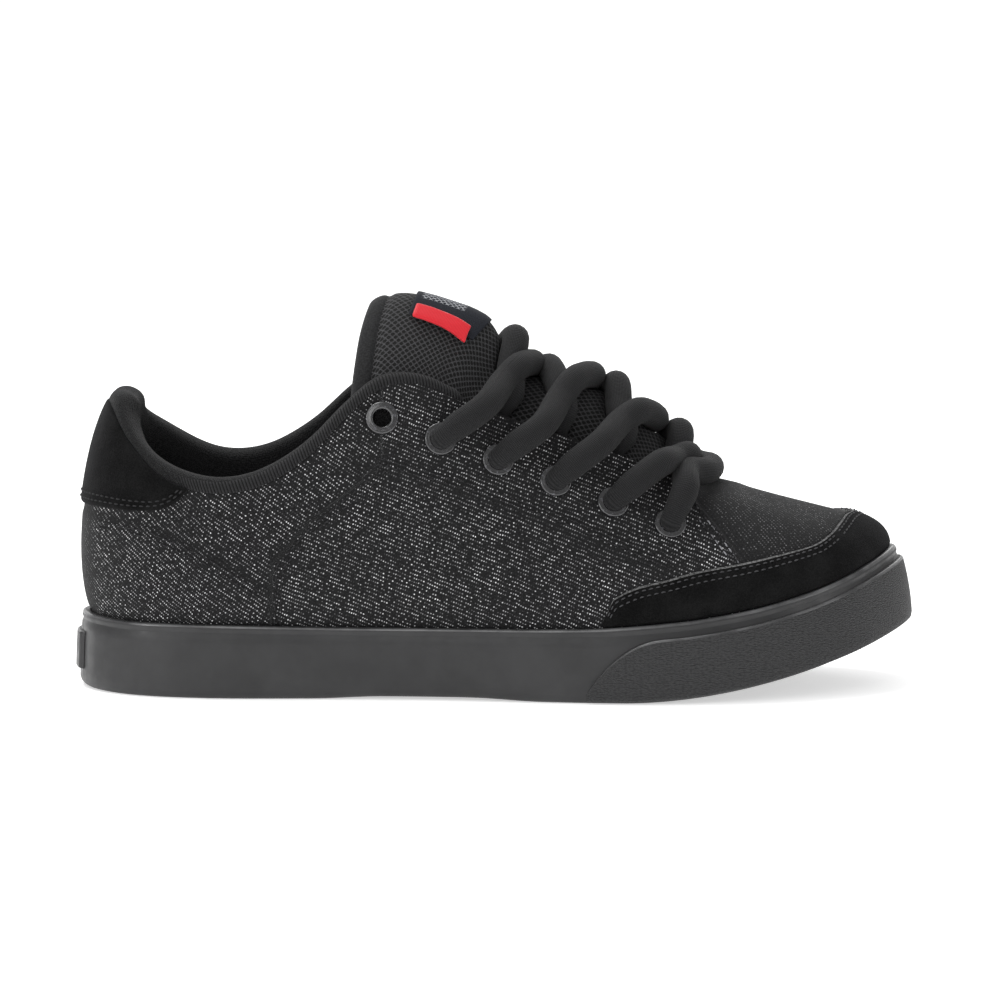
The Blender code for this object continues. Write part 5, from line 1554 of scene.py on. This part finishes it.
def crossing(pair, side):
    """Points and thickness from an eyelet over the tongue to below the opposite facing."""
    place = eyelet_frames[pair, side]
    near, far = eyelet_x(pair) + LACE_LEAVES, eyelet_x(pair + 1) + LACE_ENTERS
    edge = bisect(lambda at: top_edge(at, side).x, near, COLLAR_END - 1, TOE_TURN)
    edge_point = skin(side * edge, 1, -LACE_RADIUS - 0.0014)
    middle = (place.translation.lerp(edge_point, 0.40)
              + place.to_3x3() @ Vector((0, 0, LACE_RADIUS * 0.72)))
    made = [(middle, 1.0), (edge_point, 1.0)]
    crest, crown = LACE_CRESTS[pair - 1][0 if side < 0 else 1]
    crest = (crest - 0.5) * SOLE_LENGTH
    for across, *off in ARCH:
        share = abs(across) / FACING_REACH
        x = crest + ((near if across > 0 else far + 0.0022) - crest) * share
        row = tongue_row(x, side * across)
        height = crown if across == 0 else off[0 if side < 0 else 1]
        point = on_tongue(row, side * across, LACE_RADIUS + height * MM)
        made.append((Vector(point), 1.0))
    edge = bisect(lambda at: top_edge(at, -side).x, far, COLLAR_END - 1.5, TOE_TURN)
    made.append((skin(-side * edge, 1, 0.0052, 0.0015), 0.74))
    made.append((skin(-side * edge, 0.955, 0.0056), 0.66))
    return made


def bar():
    """The straight stretch at the vamp, from the lateral eyelet to the medial one."""
    halves = []
    for side in (-1, 1):
        turn, level = eyelet_place(EYELETS - 1, side)
        half = [(skin((turn + side * 13.85) / 2, (level + 1) / 2, -LACE_RADIUS - 0.0016), 1.0)]
        half += [(skin(side * at, 1, -LACE_RADIUS + 0.0016), 1.0) for at in (13.85, 14.9)]
        halves.append(half)
    crown = [(skin(TOE_TURN, 1, -LACE_RADIUS + 0.0020), 1.0)]
    return halves[0] + crown + halves[1][::-1]


def strand(side):
    """Zigzag from the vamp to the top on one strand, starting inside an eyelet of one side."""
    made, here = [], side
    for pair in range(EYELETS - 1, 1, -1):
        made += through(pair, here, inwards=True)
        # the far end of a crossing lies below this facing, and its near end goes up to the next
        made += crossing(pair - 1, -here)[::-1]
        here = -here
    return made + through(1, here, inwards=True)


whole = list(reversed(strand(-1))) + bar() + strand(1)
path = np.array([point[:] for point, _ in whole])
thickness = np.array([share for _, share in whole]) * LACE_RADIUS
print("lace points:", len(path))


# %% Sweep the braid along its run
def sweep(name, path, radii, finish, step=0.0011, sides=18):
    """A tube along a smooth path with no twist, with cloth coordinates along and around."""
    chord = np.linalg.norm(np.diff(path, axis=0), axis=1) ** 0.5
    knots = np.concatenate([[0], np.cumsum(chord)])
    fine = []
    for index in range(len(path) - 1):
        p0 = path[index - 1] if index else 2 * path[0] - path[1]
        p3 = path[index + 2] if index + 2 < len(path) else 2 * path[-1] - path[-2]
        t0 = knots[index - 1] if index else knots[0] - chord[0]
        t3 = knots[index + 2] if index + 2 < len(path) else knots[-1] + chord[-1]
        p1, p2, t1, t2 = path[index], path[index + 1], knots[index], knots[index + 1]
        count = max(2, int(np.linalg.norm(p2 - p1) / step))
        for t in np.linspace(t1, t2, count, endpoint=False):
            a1 = (t1 - t) / (t1 - t0) * p0 + (t - t0) / (t1 - t0) * p1
            a2 = (t2 - t) / (t2 - t1) * p1 + (t - t1) / (t2 - t1) * p2
            a3 = (t3 - t) / (t3 - t2) * p2 + (t - t2) / (t3 - t2) * p3
            b1 = (t2 - t) / (t2 - t0) * a1 + (t - t0) / (t2 - t0) * a2
            b2 = (t3 - t) / (t3 - t1) * a2 + (t - t1) / (t3 - t1) * a3
            here = (t2 - t) / (t2 - t1) * b1 + (t - t1) / (t2 - t1) * b2
            share = (t - t1) / (t2 - t1)
            share = share * share * (3 - 2 * share)
            fine.append((*here, radii[index] * (1 - share) + radii[index + 1] * share))
    fine.append((*path[-1], radii[-1]))
    fine = np.array(fine)
    centre, radius = fine[:, :3], fine[:, 3]
    run = np.gradient(centre, axis=0)
    run /= np.linalg.norm(run, axis=1, keepdims=True)
    flat = np.cross(run[0], (0, 0, 1.0))
    rings, around = [], 2 * np.pi * np.arange(sides) / sides
    for index in range(len(centre)):
        flat = flat - run[index] * flat.dot(run[index])
        flat /= np.linalg.norm(flat)
        other = np.cross(run[index], flat)
        rings.append(centre[index] + radius[index] * (np.outer(np.cos(around), flat)
                                                      + np.outer(np.sin(around), other)))
    along = run_along(centre)
    girth = 2 * np.pi * LACE_RADIUS * np.arange(sides) / sides
    uv = np.stack(np.meshgrid(along, girth, indexing="ij"), axis=2)
    faces = grid_faces(len(rings), sides, closed_columns=True)
    faces += [tuple(range(sides)), tuple(reversed(range((len(rings) - 1) * sides,
                                                        len(rings) * sides)))]
    made = add_piece(name, np.concatenate(rings), faces, finish, uv.reshape(-1, 2))
    # the last strip goes round to the first column, so its far corners get the full girth
    layer = made.data.uv_layers["cloth"].data
    full = 2 * np.pi * LACE_RADIUS
    for face in made.data.polygons:
        if len(face.vertices) == 4 and {corner % sides for corner in face.vertices} == {0, sides - 1}:
            for corner in face.loop_indices:
                if made.data.loops[corner].vertex_index % sides == 0:
                    layer[corner].uv.y = full
    outward_normals(made)
    return made, along[-1]


lace, lace_length = sweep("round_lace", path, thickness, braid)
finish_piece(lace, "round_lace_black", "lace_crossing_1", "lace_crossing_2", "lace_crossing_3",
             "lace_crossing_4", "lace_bar")
print("lace length in mm:", round(lace_length * 1000))

# %% [markdown]
# ### Pressed foam
#
# The lace is drawn tight, so it sinks into the tongue. A shrinkwrap would pull the whole face,
# so only the points that the lace reaches are pushed in, each along its own normal.

# %% Press the lace into the tongue's foam
corners = np.zeros(len(tongue.data.vertices) * 3)
tongue.data.vertices.foreach_get("co", corners)
corners = corners.reshape(-1, 3)
rings = np.zeros(len(lace.data.vertices) * 3)
lace.data.vertices.foreach_get("co", rings)
centres = rings.reshape(-1, 18, 3).mean(axis=1)
girths = np.linalg.norm(rings.reshape(-1, 18, 3)[:, 0] - centres, axis=1) + 0.0002
for index, corner in enumerate(corners):
    away = corner - centres
    gap = np.einsum("ij,ij->i", away, away) ** 0.5
    nearest = int(np.argmin(gap - girths))
    # the foam gives way round the lace, and a little beside it
    pressed = max(0.0, girths[nearest] + 0.0008 - gap[nearest])
    if pressed > 0:
        depth = pressed if pressed > 0.0012 else pressed ** 2 / 0.0024
        normal = Vector(tongue.data.vertices[index].normal)
        corners[index] -= np.array(normal) * min(depth * 1.15, 0.0040)
tongue.data.vertices.foreach_set("co", corners.ravel())
tongue.data.update()

# %% [markdown]
# ## The cupsole
#
# A cupsole is moulded in one piece: a wall round the foot that ends in a thin lip, and a floor.
# The wall is smooth and a little glossy where the mould was polished. A strip with a pebbled face
# is bonded round the toe.

# %% Rubber
# vulcanised rubber from a polished mould: charcoal, satin, with faint clouds
rubber, mm = material("moulded_rubber_smooth", 0.52, Specular_IOR_Level=0.45)
cloudy = node("TexNoise", {"Vector": mm, "Scale": 1 / 18, "Detail": 4})
node("Mix",
     {0: node("MapRange", (cloudy, 0.3, 0.7), interpolation_type="SMOOTHSTEP"),
      6: linear("#222223"), 7: linear("#2C2C2D")}, data_type="RGBA", into="Base Color", out=2)
node("MapRange",
     (node("TexNoise", {"Vector": mm, "Scale": 1 / 5, "Detail": 4}), 0.3, 0.7, 0.36, 0.5),
     interpolation_type="SMOOTHSTEP", into="Roughness")
node("Bump",
     {"Height": node("TexNoise", {"Vector": mm, "Scale": 1 / 1.2, "Detail": 3}),
      "Distance": 0.05 * MM, "Strength": 0.5}, into="Normal")

# the same rubber, glossier, and paler as a painted highlight on the top edge
# of the lip and on the round edges of the bonded strips
painted_highlight_rubber, mm = material("rubber_lip_painted_highlight", 0.26, Specular_IOR_Level=0.6)
node("Mix",
     {0: node("MapRange",
              (node("TexNoise", {"Vector": mm, "Scale": 1 / 12, "Detail": 4}), 0.3, 0.7),
              interpolation_type="SMOOTHSTEP"), 6: linear("#303031"), 7: linear("#5A5A5B")},
     data_type="RGBA", into="Base Color", out=2)

# the same rubber from an etched mould: upright pebbles 0.5 mm wide, which
# break the gloss. They are drawn about 1 mm wide, or they wouldn't show
pebbled, mm = material("moulded_rubber_pebbled", 0.62, "cloth", Specular_IOR_Level=0.45)
stretched = node("VectorMath", {0: mm, 1: (0.75, 2.2, 1)}, operation="MULTIPLY")
grain = node("TexVoronoi", {"Vector": stretched.outputs[0], "Scale": 1.0, "Randomness": 0.8},
             voronoi_dimensions="2D").outputs["Distance"]
node("Mix",
     {0: node("MapRange", (grain, 0.1, 0.8), interpolation_type="SMOOTHSTEP"), 6: linear("#323233"),
      7: linear("#1C1C1D")}, data_type="RGBA", into="Base Color", out=2)
node("Bump", {"Height": node("Math", (grain, -1.0), operation="MULTIPLY"), "Distance": 0.34 * MM},
     into="Normal")


# %% Loft the wall and close it below
def wall_point(section, side, share, proud=0.0):
    """Outer face of the foxing at a share of its height, moved outwards by proud."""
    share_round = smooth(COLUMNS[FOOT], section)
    edge = outline(share_round, side)
    low, high = ground(edge.x), lip(edge.x)
    height = share * (high - low)
    foot_curve = max(0.0, 1 - height / SOLE_EDGE_ROUND)
    inset = SOLE_EDGE_ROUND * (1 - math.sqrt(1 - foot_curve ** 2)) + lean(edge.x) * share ** 1.8
    place = outline(share_round, side, inset - proud)
    place.z = low + height
    return place


def cup_rim(section, side, inset, down=0.0):
    """Point of the lip or of the cup's inner wall, at an inset and a depth."""
    share_round = smooth(COLUMNS[FOOT], section)
    edge = outline(share_round, side)
    place = outline(share_round, side, lean(edge.x) + inset)
    place.z = lip(edge.x) - down
    return place


STEP = 12
half_round = [step / STEP for step in range(TOE_TURN * STEP + 1)]
places = [(at, -1) for at in half_round] + [(at, 1) for at in reversed(half_round)][1:-1]
WALL_SHARES = (0.0, 0.012, 0.03, 0.06, 0.10, 0.2, 0.34, 0.48, 0.62, 0.74, 0.84, 0.885, 0.905,
               0.93, 0.965)
rings = [[wall_point(*place, share, -0.0004 * (share in (0.885, 0.905)))[:] for place in places]
         for share in WALL_SHARES]
rings.append([cup_rim(*place, 0.0002, 0.0003)[:] for place in places])
rings.append([cup_rim(*place, 0.0009)[:] for place in places])
rings.append([cup_rim(*place, LIP_THICKNESS - 0.0004)[:] for place in places])
rings.append([cup_rim(*place, LIP_THICKNESS, 0.0006)[:] for place in places])
rings.append([cup_rim(*place, LIP_THICKNESS + CUP_DRAFT * 0.8, 0.014)[:] for place in places])
count = len(places)
points = np.array(rings).reshape(-1, 3)
faces = grid_faces(len(rings), count, closed_columns=True)
half = count // 2
for ring, flip in ((0, False), (len(rings) - 1, True)):
    base = ring * count
    for index in range(half):
        a, b = base + index, base + index + 1
        c = base + (count - index - 1) % count
        d = base + (count - index) % count
        face = [corner for number, corner in enumerate((a, b, c, d))
                if corner not in (a, b, c, d)[:number]]
        if len(face) > 2:
            faces.append(tuple(face) if flip else tuple(reversed(face)))
lip_ring = len(WALL_SHARES)
# the faces round the top of the lip take the paler rubber, a painted highlight
painted_highlight_faces = [1 if len(face) == 4 and face[0] // count in (lip_ring - 1, lip_ring) else 0
          for face in faces]
sole = add_piece("cupsole_shell", points, faces, [rubber, painted_highlight_rubber], None, painted_highlight_faces)
outward_normals(sole)

# %% [markdown]
# ### The tread
#
# The mould has one ridge for each groove. Here too, every groove is a bar in a shallow V, and one
# Boolean cuts all of them out of the sole. The pattern underneath is a plain one.

# %% Mould the tread
# Chevron grooves 3.4 mm wide under the heel and the ball, with a bare rim of 9 mm
TREAD_DEPTH, TREAD_WIDTH, TREAD_RIM, CHEVRON = 0.0025, 0.0034, 0.0090, 0.0075
groove_points, groove_faces = [], []
for along in (*np.linspace(0.075, 0.265, 5), *np.linspace(0.545, 0.875, 8)):
    x = (along - 0.5) * SOLE_LENGTH
    ends = []
    for side in (-1, 1):
        share = bisect(lambda at: on_edge(at, side).x, x - CHEVRON, 0.0, 1.0)
        ends.append(outline(share, side, TREAD_RIM).y)
    for place in (Vector((x - CHEVRON, ends[0], 0)), Vector((x, sum(ends) / 2, 0)),
                  Vector((x - CHEVRON, ends[1], 0))):
        low, high = ground(place.x) - 0.004, ground(place.x) + TREAD_DEPTH
        for dx, z in ((-0.5, low), (0.5, low), (0.35, high), (-0.35, high)):
            groove_points.append((place.x + dx * TREAD_WIDTH, place.y, z))
    start = len(groove_points) - 12
    groove_faces += grid_faces(3, 4, closed_columns=True, start=start)
    groove_faces += [(start, start + 1, start + 2, start + 3),
                     (start + 11, start + 10, start + 9, start + 8)]
grooves = add_piece("grooves", groove_points, groove_faces, rubber)
outward_normals(grooves)
apply_modifier(sole, "BOOLEAN", operation="DIFFERENCE", object=grooves, solver="EXACT")
bpy.data.objects.remove(grooves)
select_only(sole)
bpy.ops.object.shade_smooth_by_angle(angle=math.radians(38))
finish_piece(sole, "rubber_dark_grey", "cupsole")


# %% [markdown]
# ### Strips on the wall
#
# The bumper is moulded apart and bonded on, and so is the small plate at the heel. A strip could be
# a copy of the wall's faces, extruded, but its ends have to fade out. It is lofted on the wall's
# own formula, with a round edge and a taper.

# %% Bond the bumper and the heel label
def bonded(name, finish, stations, shares_of, rise, sunk=0.0004):
    """A moulded strip on the wall with a round edge, with cloth coordinates."""
    profile = ((0.0, -sunk), (0.0, rise * 0.55), (0.012, rise * 0.88), (0.035, rise))
    rows, uvs, run, before = [], [], 0.0, None
    for section, side, taper in stations:
        low, high = shares_of(section, side)
        shares = [low + (high - low) * at for at, _ in profile]
        prouds = [proud for _, proud in profile]
        shares += list(np.linspace(low + (high - low) * 0.1, low + (high - low) * 0.9, 9))
        prouds += [rise] * 9
        shares += [high - (high - low) * at for at, _ in reversed(profile)]
        prouds += [proud for _, proud in reversed(profile)]
        row = [wall_point(section, side, share, proud if proud < 0 else proud * taper)
               for share, proud in zip(shares, prouds)]
        if before:
            run += (row[8] - before).length
        before = row[8]
        rows.append([point[:] for point in row])
        uvs.append([(run, point.z) for point in row])
    points = np.array(rows)
    faces = grid_faces(*points.shape[:2])
    # the faces of the upper round edge take the paler rubber, a painted highlight
    edge = [1 if face[0] % points.shape[1] in (points.shape[1] - 4, points.shape[1] - 3) else 0
            for face in faces]
    made = add_piece(name, points.reshape(-1, 3), faces, [finish, painted_highlight_rubber],
                     np.array(uvs).reshape(-1, 2), edge)
    middle = made.data.polygons[len(made.data.polygons) // 2]
    outward = middle.center.copy()
    outward.z = 0
    if middle.normal.dot(outward) < 0:
        made.data.flip_normals()
    return made


BUMPER_START, BUMPER_FULL, HEEL_PLATE_HALF = 0.607, 0.700, 0.0125


def bumper_shares(section, side):
    """Shares of the wall's height between which the bumper lies; it climbs from its start."""
    x = outline(smooth(COLUMNS[FOOT], section), side).x
    start_x, full_x = (BUMPER_START - 0.5) * SOLE_LENGTH, (BUMPER_FULL - 0.5) * SOLE_LENGTH
    climb = min(1.0, max(0.0, (x - start_x) / (full_x - start_x)))
    height = lip(x) - ground(x)
    full = 1 - 0.0050 / height * (1 - 0.2 * ease((x / SOLE_LENGTH + 0.5 - 0.75) / 0.25))
    return 0.035, 0.14 + (full - 0.14) * (1 - (1 - climb) ** 2.4)


starts = {}
for side in (-1, 1):
    share = bisect(lambda at: on_edge(at, side).x, (BUMPER_START - 0.5) * SOLE_LENGTH, 0.0, 1.0)
    starts[side] = bisect(lambda at: smooth(COLUMNS[FOOT], at), share, 0.0, TOE_TURN)
stations = []
for side in (-1, 1):
    half = list(np.arange(starts[side], TOE_TURN, 1 / 20)) + [float(TOE_TURN)]
    half = [(at, side, min(1.0, 0.15 + (at - half[0]) / 0.12)) for at in half]
    stations += half if side < 0 else half[::-1][1:]
bumper = bonded("toe_bumper_strip", pebbled, stations, bumper_shares, 0.0015)
finish_piece(bumper, "rubber_toe_bumper", "toe_bumper")

half_label = HEEL_PLATE_HALF / sum(
    (b - a).length for a, b in zip(SOLE_EDGE[-1][0], SOLE_EDGE[-1][0][1:]))
stations = []
for share in np.linspace(-half_label, half_label, 33):
    at = bisect(lambda value: smooth(COLUMNS[FOOT], value), abs(share), 0.0, TOE_TURN)
    taper = min(1.0, 0.1 + (half_label - abs(share)) / half_label * 9)
    stations.append((at, -1 if share < 0 else 1, taper))
heel_plate = bonded("heel_plate", rubber, stations, lambda section, side: (0.24, 0.74), 0.0015)
finish_piece(heel_plate, "rubber_heel_label", "heel_label")

# %% [markdown]
# ## The footbed
#
# The footbed is a moulded foam sheet under brushed fabric. The frame's solid has its outline, so
# a copy of it is welded and subdivided.

# %% Footbed
# brushed polyester fleece on foam: short nap, matt, a shade paler than the lining
fleece, mm = material("brushed_footbed_fabric", 0.95, Specular_IOR_Level=0.2, Sheen_Weight=0.2,
                      Sheen_Roughness=0.6)
grain = node("TexNoise", {"Vector": mm, "Scale": 1 / 0.7, "Detail": 4})
node("Mix",
     {0: node("MapRange", (grain, 0.3, 0.7), interpolation_type="SMOOTHSTEP"), 6: linear("#121213"),
      7: linear("#2A2A2B")}, data_type="RGBA", into="Base Color", out=2)
node("Bump", {"Height": grain, "Distance": 0.2 * MM, "Strength": 0.7}, into="Normal")

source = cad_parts["insole"]
footbed = source.copy()
footbed.data = source.data.copy()
for key in list(footbed.keys()):
    if key.startswith("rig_"):
        del footbed[key]
footbed.parent = None
bpy.context.scene.collection.objects.link(footbed)
footbed.name = "footbed"
footbed.data.materials.clear()
footbed.data.materials.append(fleece)
select_only(footbed)
bpy.ops.object.mode_set(mode="EDIT")
bpy.ops.mesh.select_all(action="SELECT")
bpy.ops.mesh.remove_doubles(threshold=0.00001)
bpy.ops.mesh.tris_convert_to_quads()
bpy.ops.object.mode_set(mode="OBJECT")
apply_modifier(footbed, "SUBSURF", levels=1, render_levels=1)
finish_piece(footbed, "fabric_insole", "insole")

# %% Measure the size
low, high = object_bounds()
print("visual box in mm:", [round((b - a) * 1000, 1) for a, b in zip(low, high)])
